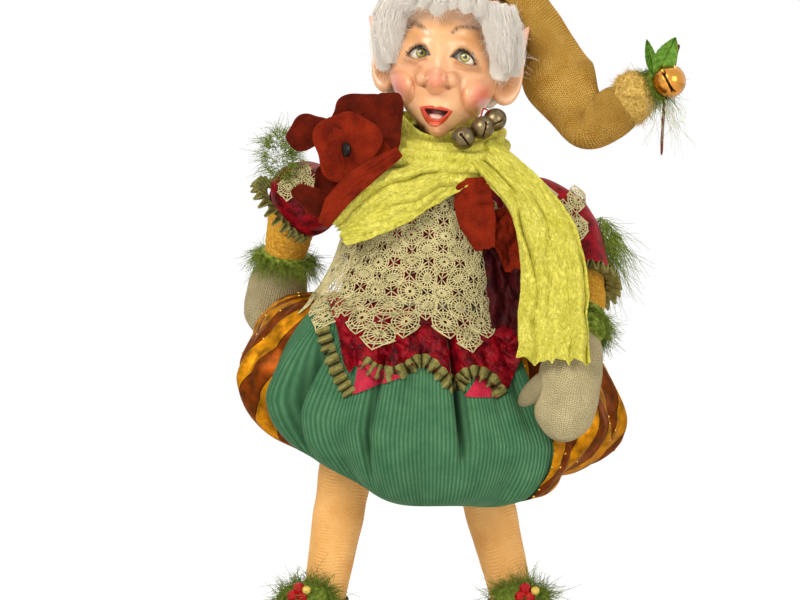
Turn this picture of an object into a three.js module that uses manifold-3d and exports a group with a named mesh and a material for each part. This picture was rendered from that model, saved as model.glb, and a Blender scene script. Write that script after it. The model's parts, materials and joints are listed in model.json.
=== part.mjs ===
// A standing elf doll: a cast head and stuffed cloth limbs on a wire armature, dressed in layered cloth.
// Millimetres, +Z up. The face looks along -Y, so +X is the doll's own left side.
import * as THREE from "three";
import { mergeVertices } from "three/addons/utils/BufferGeometryUtils.js";
import Module from "manifold-3d";

const wasm = await Module();
wasm.setup();

// Clearances
const GAP = 0.3;
const TURN_GAP = 1.2;

// Cloth layers
const CLOTH = 2;
const LACE = 1.6;

// Wire armature
const WIRE_R = 1.5;
const WIRE_FIT = 0.5;
const HIP_Z = 178;
const SHOULDER_Z = 302;
const NECK_Z = 325;
const SPINE_TOP_Z = 352;
const NECK_X = 4;
const PELVIS_X = -10;
const HIP_SPREAD = 30;
const SHOULDER_SPREAD = 58;

// Torso
const TORSO_FOOT_Z = 188;
const TORSO_TOP_Z = 322;
const TORSO_SIDE = [38, 47, 46, 44, 46, 49, 13];
const TORSO_DEPTH = [28, 34, 34, 32, 32, 26, 13];
const BODICE_TOP_Z = 315;
const BODICE_FOOT_Z = 226;

// Skirt
const SKIRT_X = 3;
const SKIRT_WAIST_Z = 223;
const SKIRT_HEM_Z = 117;
const SKIRT_HALF_WIDTH = 124;
const SKIRT_HALF_DEPTH = 90;
const SKIRT_WALL = 5;
const SKIRT_HEM_OPENING = 0.66;
const SKIRT_HEM_X = -5;
const SKIRT_FOLD = 0.022;
const SKIRT_FRONT_SLOPE = 0.28;
const SKIRT_TILT = 7;
const PANEL_RIGHT_DEG = -50;
const PANEL_LEFT_DEG = 43;

// Lace shawl
const SHAWL_SIDE = [17, 46, 53, 55, 60, 88];
const SHAWL_DEPTH = [17, 32, 37, 40, 47, 72];
const SHAWL_TOP_Z = 318;
const SHAWL_FOOT_Z = 198;
const SHAWL_ARMHOLE_R = 31;

// Arms
const ARM_R = [11, 16, 15, 13];
const SLEEVE_R = [18, 24, 24, 20];
const SLEEVE_RISE = 15;
const SLEEVE_TRIM_R = 3.2;
const CUFF_R = 7.5;
const MITTEN_SIDE = [12, 18, 19.5, 17, 5];
const MITTEN_DEPTH = [10, 13, 13.5, 11, 4];
const THUMB_R = [6.5, 6.3, 4];
const ARM_LIFT = 30;

// Legs and shoes
const LEG_R = [18, 18.5, 17, 15, 13.5];
const LEG_TOP_R = 19;
const LEG_FOOT_Z = 16;
const ANKLE_Z = 34;
const SOLE_T = 4;
const SOLE_HALF_LENGTH = 37;
const SOLE_HALF_WIDTH = 17;
const SHOE_WIDTH = [8, 16, 16.5, 14, 8, 3];
const SHOE_HEIGHT = [9, 14, 13, 10, 6, 2.5];
const BERRY_R = 4;

// Head
const HEAD_ROLL = 7;
const HEAD_YAW = -4;
const HEAD_TURN = 20;
const SKULL_WIDE = 36;
const SKULL_DEEP = 40;
const SKULL_HIGH = 48;
const SKULL_WALL = 9;
const EYE_R = 8;
const EYE_SPREAD = 14.5;
const EAR_SIDE = [4, 8.5, 8, 1.2];
const EAR_DEPTH = [3, 4, 3.6, 1.2];
const HAIR_WIDE = 46;
const HAIR_DEEP = 49;
const HAIR_HIGH = 48;
const FACE_WIDE = 25;
const FACE_HIGH = 46;

// Hat
const HAT_WIDE = 53;
const HAT_DEEP = 55;
const HAT_HIGH = 50;
const HAT_TAIL_R = [21, 18, 15.5, 17.5, 24, 19, 15];
const HAT_END_R = [15.5, 16, 15.5, 12];
const HAT_BALL_R = 16.5;
const HAT_TIP_WIDE = 15;
const HAT_TIP_DEEP = 14;
const HAT_TIP_HIGH = 17;
const TWIG_R = 1.2;
const HAT_BEND_UP = 8;
const HAT_BEND_DOWN = 30;
const BRIM_TILT = 38;
const BAND_R = 4;

// Jingle bells
const HAT_BELL_R = 10.4;
const NECK_BELL_R = 7.4;
const BELL_WALL = 1;
const BELL_SLOT = 2;

// Scarf and flower
const SCARF_R = 11;
const SCARF_HIGH = 14;
const SCARF_T = 3;
const SCARF_SHORT_HALF_WIDTH = [9, 11, 12, 9];
const SCARF_LONG_HALF_WIDTH = [10, 15, 19.5, 21, 22];
const PETAL_R = 20;
const PETAL_T = 2;
const EYELET_R = 5;

const X_AXIS = new THREE.Vector3(1, 0, 0);
const Y_AXIS = new THREE.Vector3(0, 1, 0);
const Z_AXIS = new THREE.Vector3(0, 0, 1);
const FAR = 400;
const rad = THREE.MathUtils.degToRad;
const at = (x, y, z) => new THREE.Vector3(x, y, z);
const smooth = (...points) => new THREE.CatmullRomCurve3(points);
const straight = (from, to) => new THREE.LineCurve3(from, to);

// A value that changes smoothly along a piece, through evenly spaced stops.
function evenly(stops) {
  const curve = new THREE.SplineCurve(stops.map((value, i) => new THREE.Vector2(i, value)));
  return (t) => curve.getPoint(t).y;
}

// Moves every corner of a closed three.js geometry with place() and returns it as a solid.
function shaped(geometry, place = () => {}) {
  const plain = geometry.clone();
  plain.deleteAttribute("normal");
  plain.deleteAttribute("uv");
  const merged = mergeVertices(plain, 1e-4);
  const position = merged.attributes.position;
  const point = new THREE.Vector3();
  for (let i = 0; i < position.count; i++) {
    place(point.fromBufferAttribute(position, i));
    position.setXYZ(i, point.x, point.y, point.z);
  }
  const mesh = new wasm.Mesh({
    numProp: 3,
    vertProperties: Float32Array.from(position.array),
    triVerts: Uint32Array.from(merged.index.array),
  });
  return new wasm.Manifold(mesh);
}

// A tube whose half widths, across and in depth, change along a curve.
function swell(curve, side, depth, options = {}) {
  const { sides = 10, steps = 8, grow = 0, ripple = () => 0, lean = Y_AXIS } = options;
  return shaped(new THREE.CylinderGeometry(1, 1, 1, sides, steps), (p) => {
    const t = p.y + 0.5;
    const along = curve.getTangent(t);
    const upright = Math.abs(along.dot(lean)) > 0.99 ? Z_AXIS : lean;
    const back = upright.clone().addScaledVector(along, -upright.dot(along)).normalize();
    const across = along.clone().cross(back);
    const wave = ripple(p.x, t);
    const end = Math.sign(p.y) * grow * Math.floor(Math.abs(p.y) * 2);
    const centre = curve.getPoint(t).addScaledVector(along, end);
    centre.addScaledVector(across, p.x * (side(t) + grow));
    centre.addScaledVector(back, p.z * (depth(t) + grow) + wave);
    p.copy(centre);
  });
}

const rod = (from, to, r, sides = 6) => swell(straight(from, to), () => r, () => r, { sides, steps: 1 });

function ball(centre, rx, ry = rx, rz = rx, wide = 10, high = 8) {
  return shaped(new THREE.SphereGeometry(1, wide, high).rotateX(Math.PI / 2), (p) => {
    p.set(centre.x + p.x * rx, centre.y + p.y * ry, centre.z + p.z * rz);
  });
}

// A closed loop of oval section, given by its centre line and the section's axes at each angle.
function loop(centreAt, across, high, { around = 22, sides = 8 } = {}) {
  return shaped(new THREE.TorusGeometry(2, 1, sides, around), (p) => {
    const angle = Math.atan2(p.y, p.x);
    const out = Math.hypot(p.x, p.y) - 2;
    const centre = centreAt(angle);
    const direction = centreAt(angle + 0.01).sub(centreAt(angle - 0.01)).cross(Z_AXIS).normalize();
    p.copy(centre.addScaledVector(direction, out * across).addScaledVector(Z_AXIS, p.z * high));
  });
}

// A prism whose outline is drawn in the front view, X by Z, between two depths.
function frontPrism(outline, nearY, farY) {
  const shape = new THREE.Shape(outline.map(([x, z]) => new THREE.Vector2(x, z)));
  const prism = new THREE.ExtrudeGeometry(shape, { depth: farY - nearY, bevelEnabled: false });
  return shaped(prism, (p) => p.set(p.x, farY - p.z, p.y));
}

const union = (solids) => solids.reduce((sum, solid) => sum.add(solid));

// Cuts tools out of a solid and keeps its largest body.
function cut(solid, ...tools) {
  const left = tools.reduce((rest, tool) => rest.subtract(tool), solid);
  const bodies = left.decompose();
  return bodies.reduce((best, body) => (body.volume() > best.volume() ? body : best));
}

const block = (low, high) =>
  shaped(new THREE.BoxGeometry(1, 1, 1), (p) => {
    p.addScalar(0.5).multiply(high.clone().sub(low)).add(low);
  });

const below = (z) => block(at(-FAR, -FAR, z - FAR), at(FAR, FAR, z));
const above = (z) => block(at(-FAR, -FAR, z), at(FAR, FAR, z + FAR));

// Turns a solid about an axis through a point.
function turned(solid, pivot, axis, degrees) {
  const turn = new THREE.Matrix4().makeTranslation(pivot);
  turn.multiply(new THREE.Matrix4().makeRotationAxis(axis, rad(degrees)));
  turn.multiply(new THREE.Matrix4().makeTranslation(pivot.clone().negate()));
  return solid.transform(turn.elements);
}

const doll = new THREE.Group();
doll.name = "elf_doll";

function piece(name, solid, colour, roughness = 0.85, metalness = 0) {
  const { vertProperties, triVerts } = solid.getMesh();
  const geometry = new THREE.BufferGeometry();
  geometry.setAttribute("position", new THREE.BufferAttribute(vertProperties, 3));
  geometry.setIndex(new THREE.BufferAttribute(triVerts, 1));
  geometry.computeVertexNormals();
  const material = new THREE.MeshStandardMaterial({ color: colour, roughness, metalness });
  const mesh = new THREE.Mesh(geometry, material);
  mesh.name = name;
  doll.add(mesh);
}

// Joint positions
const hips = {
  right: at(PELVIS_X - HIP_SPREAD, 0, HIP_Z),
  left: at(PELVIS_X + HIP_SPREAD, 0, HIP_Z),
};
const shoulders = {
  right: at(NECK_X - SHOULDER_SPREAD, 0, SHOULDER_Z),
  left: at(NECK_X + SHOULDER_SPREAD, 0, SHOULDER_Z),
};
const neck = at(NECK_X, 0, NECK_Z);
const hatPivot = at(105, 12, 338);
const eyeLoopR = 2 * WIRE_R + WIRE_FIT;

// Armature: a bent spine, the hip bar and the shoulder bar with a loop at each end.
const spineBend = at(NECK_X, 0, SHOULDER_Z);
const shoulderLoop = (centre) =>
  shaped(new THREE.TorusGeometry(eyeLoopR, WIRE_R, 6, 10).rotateX(Math.PI / 2), (p) => p.add(centre));
const armatureForm = (r) =>
  union([
    rod(at(PELVIS_X, 0, HIP_Z), spineBend, r),
    ball(spineBend, r, r, r, 8, 6),
    rod(spineBend, at(NECK_X, 0, SPINE_TOP_Z), r),
    rod(at(hips.right.x - 10, 0, HIP_Z), at(hips.left.x + 10, 0, HIP_Z), r),
    rod(at(shoulders.right.x + eyeLoopR, 0, SHOULDER_Z), at(shoulders.left.x - eyeLoopR, 0, SHOULDER_Z), r),
  ]);
const armature = union([armatureForm(WIRE_R), shoulderLoop(shoulders.right), shoulderLoop(shoulders.left)]);
piece("armature", armature, 0xb9bcc0, 0.4, 0.9);

// Torso: swells at the hips and the chest, with a hollow for the top of each leg.
const torsoLine = straight(at(PELVIS_X, 0, TORSO_FOOT_Z), at(NECK_X, 0, TORSO_TOP_Z));
const torsoForm = (grow) =>
  swell(torsoLine, evenly(TORSO_SIDE), evenly(TORSO_DEPTH), { sides: 14, steps: 6, grow });
const hollowR = LEG_TOP_R + TURN_GAP;
const hipHollow = (side) => ball(hips[side], hollowR);
const torso = cut(
  torsoForm(0),
  armatureForm(WIRE_R + WIRE_FIT),
  hipHollow("right"),
  hipHollow("left"),
  above(TORSO_TOP_Z),
);
piece("torso", torso, 0xc9b49a);

// Bodice: a velvet shell on the torso.
const bodice = cut(
  torsoForm(GAP + CLOTH),
  torsoForm(GAP),
  below(BODICE_FOOT_Z),
  above(BODICE_TOP_Z),
  armatureForm(WIRE_R + WIRE_FIT),
);
piece("bodice", bodice, 0x9b0b2a, 0.7);

// Skirt: a gathered balloon. Its hem is lowest in front and highest at the doll's right side.
const skirtTilt = Math.tan(rad(SKIRT_TILT));
const skirtProfile = [
  [0, 0], [0.42, 0], [0.64, 0.04], [0.8, 0.12], [0.9, 0.28], [0.96, 0.45],
  [1, 0.63], [0.94, 0.81], [0.79, 0.95], [0.58, 1], [0, 1],
];
const hemLift = (angle) => -11.5 * Math.cos(angle) - 10.75 * Math.cos(2 * angle);
function skirtForm(grow, profile = skirtProfile) {
  const outline = profile.map(([r, h]) => new THREE.Vector2(r, -h)).reverse();
  return shaped(new THREE.LatheGeometry(outline, 28), (p) => {
    const angle = Math.atan2(p.x, p.z);
    const drop = -p.y;
    const reach = Math.hypot(p.x, p.z);
    const hem = SKIRT_HEM_Z + hemLift(angle);
    const fold = 1 + SKIRT_FOLD * drop * Math.sin(9 * angle + 0.6) * Math.min(1, reach * 2);
    const facing = Math.max(0, Math.cos(angle)) ** 1.5;
    const slope = 1 - SKIRT_FRONT_SLOPE * facing * Math.max(0, 1 - drop / 0.65);
    const end = grow * (1 - 2 * drop);
    const x = Math.sin(angle) * reach * (SKIRT_HALF_WIDTH + grow / 0.8) * fold * slope;
    const y = -Math.cos(angle) * reach * (SKIRT_HALF_DEPTH + grow / 0.8) * fold * slope;
    const z = SKIRT_WAIST_Z - drop * (SKIRT_WAIST_Z - hem) + end;
    p.set(SKIRT_X + x, y, z - x * skirtTilt);
  });
}
const hemOpening = shaped(new THREE.CylinderGeometry(1, 1, 1, 24), (p) => {
  p.set(
    SKIRT_HEM_X + p.x * SKIRT_HEM_OPENING * SKIRT_HALF_WIDTH,
    -p.z * SKIRT_HEM_OPENING * SKIRT_HALF_DEPTH,
    SKIRT_HEM_Z + p.y * SKIRT_HEM_Z,
  );
});
const skirtInside = skirtProfile.filter((stop, i) => i % 2 === 0);
const skirtRoom = skirtForm(-SKIRT_WALL, skirtInside);
const skirt = cut(skirtForm(0), skirtRoom, hemOpening, torsoForm(GAP + CLOTH + GAP));
function skirtWedge(gap) {
  const corner = (degrees) => [FAR * Math.sin(rad(degrees)), -FAR * Math.cos(rad(degrees))];
  const outline = [[0, gap], corner(PANEL_RIGHT_DEG), corner(0), corner(PANEL_LEFT_DEG)];
  const shape = new THREE.Shape(outline.map(([x, y]) => new THREE.Vector2(SKIRT_X + x, y)));
  return shaped(new THREE.ExtrudeGeometry(shape, { depth: FAR, bevelEnabled: false }));
}
piece("skirt_front", cut(skirt.intersect(skirtWedge(0))), 0x3f8462);
piece("skirt_back", cut(skirt, skirtWedge(2 * GAP)), 0xa9560f, 0.5);

// Peplum: the bodice's long front, which lies on the skirt and ends in points.
const peplumEdge = [
  [-60, 214], [-51, 175], [-45, 189], [-39, 188], [-33, 174], [-22, 182], [-4, 192],
  [14, 181], [23, 176], [34, 171], [42, 177], [52, 172], [60, 190], [60, 214],
];
const peplumPrism = frontPrism([[-60, 240], ...peplumEdge, [60, 240]], -FAR, -5);
const peplum = cut(
  skirtForm(GAP + CLOTH).intersect(peplumPrism),
  skirtForm(GAP),
  torsoForm(GAP + CLOTH + GAP),
  above(BODICE_FOOT_Z - GAP),
);
piece("peplum", peplum, 0xa8102f, 0.7);

// Pleated trim along the peplum's wavy front edge.
function onSkirt(x, z, off) {
  const ray = skirtForm(GAP + CLOTH + off);
  const probe = ray.intersect(block(at(x - 0.2, -FAR, z - 0.2), at(x + 0.2, 0, z + 0.2)));
  return at(x, probe.boundingBox().min[1], z);
}
const trimEdge = [[-46, 187], [-36, 190], [-22, 183], [-5, 192], [12, 183], [22, 177], [33, 180], [43, 175]];
const trimLine = smooth(...trimEdge.map(([x, z]) => onSkirt(x, z, 1.8)));
const trimForm = swell(trimLine, () => 3.4, () => 1.6, { sides: 6, steps: 14 });
piece("peplum_trim", cut(trimForm, skirtForm(GAP + CLOTH + GAP)), 0x7d7a3c);

// Lace shawl: a poncho with open sides and a pointed front edge.
const shawlLine = straight(at(NECK_X, 0, SHAWL_TOP_Z), at(NECK_X - 5, 0, SHAWL_FOOT_Z));
const shawlForm = (grow) =>
  swell(shawlLine, evenly(SHAWL_SIDE), evenly(SHAWL_DEPTH), { sides: 13, steps: 5, grow });
const shawlFront = [
  [-62, 330], [-58, 263], [-70, 232], [-62, 214], [-34, 217], [-31, 205], [-17, 212],
  [13, 228], [14, 218], [20, 202], [29, 202], [38, 213], [45, 230], [62, 257], [62, 330],
];
const shawlBack = [[-62, 330], [-62, 250], [4, 232], [62, 250], [62, 330]];
const shawlClip = frontPrism(shawlFront, -FAR, 0).add(frontPrism(shawlBack, -0.01, FAR));
const armhole = (side) => ball(shoulders[side], SHAWL_ARMHOLE_R);
const shawl = cut(
  shawlForm(LACE).intersect(shawlClip),
  shawlForm(0),
  torsoForm(GAP + CLOTH + GAP),
  skirtForm(GAP + CLOTH + GAP),
  armatureForm(WIRE_R + WIRE_FIT),
  trimForm,
  above(BODICE_TOP_Z),
  armhole("right"),
  armhole("left"),
);
piece("lace_shawl", shawl, 0xb8b487);

// Legs: a round top that turns in the torso's hollow, a looped wire inside, and a shoe below.
const legs = {
  right: { ankle: at(-65, -2, ANKLE_Z), toeOut: 22 },
  left: { ankle: at(56, -2, ANKLE_Z), toeOut: -5 },
};
function buildLeg(side) {
  const hip = hips[side];
  const { ankle, toeOut } = legs[side];
  const foot = hip.clone().lerp(ankle, (HIP_Z - LEG_FOOT_Z) / (HIP_Z - ANKLE_Z));
  const legLine = straight(hip, foot);
  const legForm = (grow) =>
    union([
      ball(hip, LEG_TOP_R + grow, LEG_TOP_R + grow, LEG_TOP_R + grow, 10, 6),
      swell(legLine, evenly(LEG_R), evenly(LEG_R), { sides: 10, steps: 5, grow }),
    ]);
  const eye = (r) =>
    shaped(new THREE.TorusGeometry(eyeLoopR, r, 6, 10).rotateY(Math.PI / 2), (p) => p.add(hip));
  const wireTop = legLine.getPoint(eyeLoopR / legLine.getLength());
  const wireForm = (r) => union([eye(r), rod(wireTop, legLine.getPoint(0.9), r)]);
  const reach = at(LEG_TOP_R * 2, 0, 0);
  const bore = rod(hip.clone().sub(reach), hip.clone().add(reach), WIRE_R + WIRE_FIT);
  piece(`${side}_leg_wire`, wireForm(WIRE_R), 0xb9bcc0, 0.4, 0.9);
  const pocketR = eyeLoopR + WIRE_R + GAP;
  const wireRoom = rod(hip, legLine.getPoint(0.91), WIRE_R + GAP);
  const pocket = ball(hip, pocketR, pocketR, pocketR, 8, 6).add(wireRoom);
  piece(`${side}_leg`, cut(legForm(0), bore, pocket), 0xe0af72, 0.6);

  const heading = at(0, -1, 0).applyAxisAngle(Z_AXIS, -rad(toeOut));
  const onFoot = (ahead, z) => at(foot.x, foot.y, z).addScaledVector(heading, ahead);
  const shoeLine = smooth(
    onFoot(-23, 15), onFoot(-4, 17), onFoot(18, 15), onFoot(38, 13), onFoot(52, 19), onFoot(56, 31),
  );
  const shoeForm = (grow) =>
    swell(shoeLine, evenly(SHOE_WIDTH), evenly(SHOE_HEIGHT), { sides: 10, steps: 8, grow, lean: Z_AXIS });
  const collar = (grow) =>
    rod(onFoot(0, 12), hip.clone().lerp(foot, 0.9), LEG_R[4] + 3.5 + grow, 10);
  const shoe = cut(shoeForm(0).add(collar(0)), legForm(GAP), below(SOLE_T + GAP));
  piece(`${side}_shoe`, shoe, 0x4a3236);

  const sole = new THREE.Shape();
  sole.absellipse(0, 0, SOLE_HALF_WIDTH, SOLE_HALF_LENGTH, 0, Math.PI * 2);
  const soleForm = new THREE.ExtrudeGeometry(sole, { depth: SOLE_T, bevelEnabled: false, curveSegments: 8 });
  const middle = onFoot(12, 0);
  piece(`${side}_sole`, turned(shaped(soleForm, (p) => p.add(middle)), middle, Z_AXIS, -toeOut), 0x3b2a25);

  const pompon = ball(onFoot(24, 33), 19, 14, 10);
  piece(`${side}_pompon`, cut(pompon, shoeForm(GAP), collar(GAP), legForm(GAP)), 0x5c8a2c);
  const berry = (ahead, across, z) =>
    ball(onFoot(ahead, z).addScaledVector(X_AXIS, across), BERRY_R, BERRY_R, BERRY_R, 6, 5);
  const berries = union([berry(37, -3, 36), berry(37, 3, 35.5), berry(36, 0.5, 41)]);
  piece(`${side}_berries`, cut(berries, ball(onFoot(24, 33), 19 + GAP, 14 + GAP, 10 + GAP)), 0xb01e22, 0.3);
}
buildLeg("right");
buildLeg("left");

// Arms: a wire hooked in the shoulder bar's loop, a puffed sleeve, the lower arm, a yarn cuff and a mitten.
const arms = {
  right: {
    line: [at(-68, 9, 297), at(-84, 28, 284), at(-90, 40, 264), at(-93, 46, 248)],
    mitten: [at(-93, 46, 250), at(-99, 56, 224), at(-105, 62, 195)],
    thumb: [at(-99, 48, 232), at(-104, 34, 224)],
    sleeveEnd: 0.68,
    tuft: at(-94.3, 4.5, 318.4),
    lift: 1,
  },
  left: {
    line: [at(76, -2, 290), at(90, -8, 262), at(100, -30, 232), at(97, -64, 205)],
    mitten: [at(98, -66, 208), at(89, -82, 175), at(84, -86, 140)],
    thumb: [at(78, -80, 182), at(58, -88, 163)],
    sleeveEnd: 0.62,
    tuft: at(115, 6, 262),
    lift: -1,
  },
};
function buildArm(side) {
  const { line, mitten, thumb, sleeveEnd, tuft, lift } = arms[side];
  const pivot = shoulders[side];
  const armLine = smooth(...line);
  const armForm = (grow) => swell(armLine, evenly(ARM_R), evenly(ARM_R), { sides: 10, steps: 6, grow });
  const hook = pivot.clone().addScaledVector(Y_AXIS, 2 * WIRE_R + 1);
  const wireLine = smooth(hook, ...[0.08, 0.4, 0.8].map((t) => armLine.getPoint(t)));
  const wireForm = (r) =>
    union([
      rod(pivot.clone().addScaledVector(Y_AXIS, -4), hook, r),
      ball(hook, r, r, r, 8, 6),
      swell(wireLine, () => r, () => r, { sides: 5, steps: 6 }),
    ]);
  piece(`${side}_arm_wire`, wireForm(WIRE_R), 0xb9bcc0, 0.4, 0.9);
  piece(`${side}_arm`, cut(armForm(0), wireForm(WIRE_R + GAP)), 0xc98f2a);

  // The sleeve stays clear of the body while the arm lifts.
  const room = [0, 0.5, 1].map((part) =>
    turned(torsoForm(2 * CLOTH + LACE + TURN_GAP), pivot, Y_AXIS, -lift * ARM_LIFT * part),
  );
  const sleeveTop = armLine.getPoint(0).addScaledVector(armLine.getTangent(0), -SLEEVE_RISE);
  const sleeveLine = smooth(
    sleeveTop,
    ...[0.2, 0.45, 0.7, 1].map((t) => armLine.getPoint(t * sleeveEnd)),
  );
  const sleeveForm = (grow) =>
    swell(sleeveLine, evenly(SLEEVE_R), evenly(SLEEVE_R), { sides: 10, steps: 5, grow });
  const hookRoom = ball(pivot, 11, 11, 11, 8, 6);
  const sleeve = cut(sleeveForm(0), armForm(GAP), wireForm(WIRE_R + GAP), hookRoom, ...room);
  piece(`${side}_sleeve`, sleeve, 0x9b0b2a, 0.7);

  const ring = (t, radius, r, name, colour, squash) => {
    const centre = armLine.getPoint(t);
    const along = armLine.getTangent(t);
    const turn = new THREE.Quaternion().setFromUnitVectors(Z_AXIS, along);
    const form = (grow) =>
      shaped(new THREE.TorusGeometry(radius, r + grow, 6, 11), (p) => {
        p.z *= squash;
        p.applyQuaternion(turn).add(centre);
      });
    return { form, name, colour };
  };
  const trim = ring(sleeveEnd + 0.07, SLEEVE_R[3] - 2, SLEEVE_TRIM_R, `${side}_sleeve_trim`, 0x7d7a3c, 1.2);
  const cuff = ring(0.93, ARM_R[3] + CUFF_R - 3, CUFF_R, `${side}_cuff`, 0x5c8a2c, 1);
  const mittenLine = smooth(...mitten);
  const mittenForm = (grow) =>
    union([
      swell(mittenLine, evenly(MITTEN_SIDE), evenly(MITTEN_DEPTH), { sides: 10, steps: 6, grow }),
      swell(straight(...thumb), evenly(THUMB_R), evenly(THUMB_R), { sides: 8, steps: 2, grow }),
    ]);
  piece(trim.name, cut(trim.form(0), sleeveForm(GAP), armForm(GAP), ...room), trim.colour);
  piece(`${side}_mitten`, cut(mittenForm(0), armForm(GAP), wireForm(WIRE_R + GAP), skirtForm(GAP)), 0xa19a77);
  const cuffRoom = [armForm(GAP), trim.form(GAP), mittenForm(GAP), skirtForm(GAP)];
  piece(cuff.name, cut(cuff.form(0), ...cuffRoom), cuff.colour);
  const tuftForm = ball(tuft, 9, 12, 16, 8, 6);
  piece(`${side}_tuft`, cut(tuftForm, sleeveForm(GAP), armForm(GAP), trim.form(GAP), ...room), 0x5c8a2c);
}
buildArm("right");
buildArm("left");

// Head: an egg shape with the face's features raised or sunk along the view, and pointed ears.
const headPlace = new THREE.Matrix4()
  .makeTranslation(neck)
  .multiply(new THREE.Matrix4().makeRotationY(rad(HEAD_ROLL)))
  .multiply(new THREE.Matrix4().makeRotationZ(rad(HEAD_YAW)));
const inHead = (solid) => solid.transform(headPlace.elements);
const SKULL_MID = at(0, 2, 50);
const face = [
  { x: 0, z: 42, wide: 7.5, high: 8, out: 17 },
  { x: 9, z: 41, wide: 4.5, high: 5, out: 8 },
  { x: 0, z: 54, wide: 5, high: 11, out: 6 },
  { x: 25, z: 35, wide: 9.5, high: 9.5, out: 9 },
  { x: 0, z: 8, wide: 10, high: 7, out: 8 },
  { x: 0, z: 26, wide: 11, high: 3.5, out: 4 },
  { x: 0, z: 13, wide: 9, high: 3.5, out: 4 },
  { x: 0, z: 20, wide: 7, high: 3.5, out: -5 },
  { x: 15, z: 73, wide: 12, high: 5, out: 2.5 },
];
function headForm(grow, wide = 22, high = 16) {
  return shaped(new THREE.SphereGeometry(1, wide, high).rotateX(Math.PI / 2), (p) => {
    const unit = p.clone();
    const jaw = 1 - 0.3 * Math.max(0, -unit.z) ** 2;
    p.set(unit.x * SKULL_WIDE * jaw, unit.y * SKULL_DEEP, unit.z * SKULL_HIGH).add(SKULL_MID);
    const facing = Math.max(0, -unit.y);
    for (const { x, z, wide: w, high: h, out } of face) {
      const near = (side) => Math.exp(-(((p.x - side * x) / w) ** 2) - ((p.z - z) / h) ** 2);
      p.y -= out * facing * (x === 0 ? near(0) : near(1) + near(-1));
    }
    p.addScaledVector(unit, grow);
  });
}
const earLine = (side) =>
  smooth(at(side * 33, 4, 31), at(side * 41, 7, 48), at(side * 47, 10, 66), at(side * 53, 13, 84));
const earForm = (side, grow) =>
  swell(earLine(side), evenly(EAR_SIDE), evenly(EAR_DEPTH), { sides: 6, steps: 4, grow });
const ears = (grow) => earForm(1, grow).add(earForm(-1, grow));
const eyeAt = (side) => at(side * EYE_SPREAD, -27.5, 60);
const neckForm = rod(at(0, 1, -12), at(0, 2, 22), 12, 8);
const spineBore = rod(at(NECK_X, 0, 0), at(NECK_X, 0, SPINE_TOP_Z + 3), WIRE_R + WIRE_FIT, 6);
const hollowWide = SKULL_WIDE - SKULL_WALL;
const skullHollow = ball(SKULL_MID, hollowWide, SKULL_DEEP - SKULL_WALL, SKULL_HIGH - SKULL_WALL, 8, 6);
const eyeForm = (side, grow) => ball(eyeAt(side), EYE_R + grow, EYE_R + grow, EYE_R + grow, 10, 7);
const headSolid = union([headForm(0), ears(0), neckForm]).subtract(skullHollow);
const headCast = cut(
  inHead(headSolid.subtract(eyeForm(1, GAP)).subtract(eyeForm(-1, GAP))),
  spineBore,
  below(TORSO_TOP_Z + GAP),
);
piece("head", headCast, 0xedb98a, 0.35);
piece("right_eye", inHead(eyeForm(-1, 0)), 0x7f8a3a, 0.1);
piece("left_eye", inHead(eyeForm(1, 0)), 0x7f8a3a, 0.1);

// Hair: a lumpy wig with an opening for the face.
const hairMid = at(1, 8, 58);
const hairForm = (grow) =>
  shaped(new THREE.SphereGeometry(1, 14, 9).rotateX(Math.PI / 2), (p) => {
    const unit = p.clone();
    const lump = 1 + 0.02 * Math.sin(9 * Math.atan2(unit.x, unit.y)) * (1 - unit.z ** 2);
    p.multiply(at((HAIR_WIDE + grow) * lump, (HAIR_DEEP + grow) * lump, HAIR_HIGH + grow)).add(hairMid);
  });
const faceOpening = shaped(new THREE.CylinderGeometry(1, 1, 1, 14), (p) => {
  p.set(p.x * FACE_WIDE, -50 + p.y * 104, 42 + p.z * FACE_HIGH);
});
const jawRoom = union([
  block(at(-FAR, -FAR, -FAR), at(FAR, 8, 46)),
  block(at(-FAR, -FAR, -FAR), at(FAR, FAR, 28)),
]);
const brimCut = (grow) =>
  shaped(new THREE.BoxGeometry(1, 1, 1), (p) => {
    p.set(p.x * FAR, p.y * FAR, (p.z - 0.5) * FAR + grow);
    p.applyAxisAngle(X_AXIS, -rad(BRIM_TILT)).add(at(0, 12, 86));
  });
const hair = cut(hairForm(0), headForm(2.3, 14, 10), ears(GAP), faceOpening, jawRoom);
piece("hair", inHead(hair), 0xe9e7e0, 0.9);

// Hat: a knitted cap on the back of the head that runs into a long hanging tail.
const capMid = at(2, 18, 66);
const capForm = (grow) => ball(capMid, HAT_WIDE + grow, HAT_DEEP + grow, HAT_HIGH + grow, 14, 9);
const hatCap = inHead(capForm(0).subtract(brimCut(0)).subtract(hairForm(GAP)).subtract(ears(GAP)));
const tailLine = smooth(
  at(34, 22, 408), at(57, 24, 417), at(73, 24, 404), at(82, 24, 387), at(87.5, 22, 369), at(97, 17, 351),
  hatPivot,
);
const endLine = smooth(hatPivot, at(117, 8, 342), at(126, 5, 349), at(132, 3, 354));
const endForm = (grow) =>
  union([
    ball(hatPivot, HAT_BALL_R + grow, HAT_BALL_R + grow, HAT_BALL_R + grow, 10, 8),
    swell(endLine, evenly(HAT_END_R), evenly(HAT_END_R), { sides: 10, steps: 4, grow }),
  ]);
const endRoom = [-HAT_BEND_UP, HAT_BEND_DOWN].map((angle) =>
  turned(endForm(TURN_GAP), hatPivot, Y_AXIS, angle),
);
const tailForm = (grow) =>
  swell(tailLine, evenly(HAT_TAIL_R), evenly(HAT_TAIL_R), { sides: 11, steps: 8, grow });
const hat = cut(hatCap.add(tailForm(0)), inHead(hairForm(GAP)), inHead(ears(GAP)), ...endRoom);
piece("hat", hat, 0xc8994e);
const tipAt = at(135, 2, 356);
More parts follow.
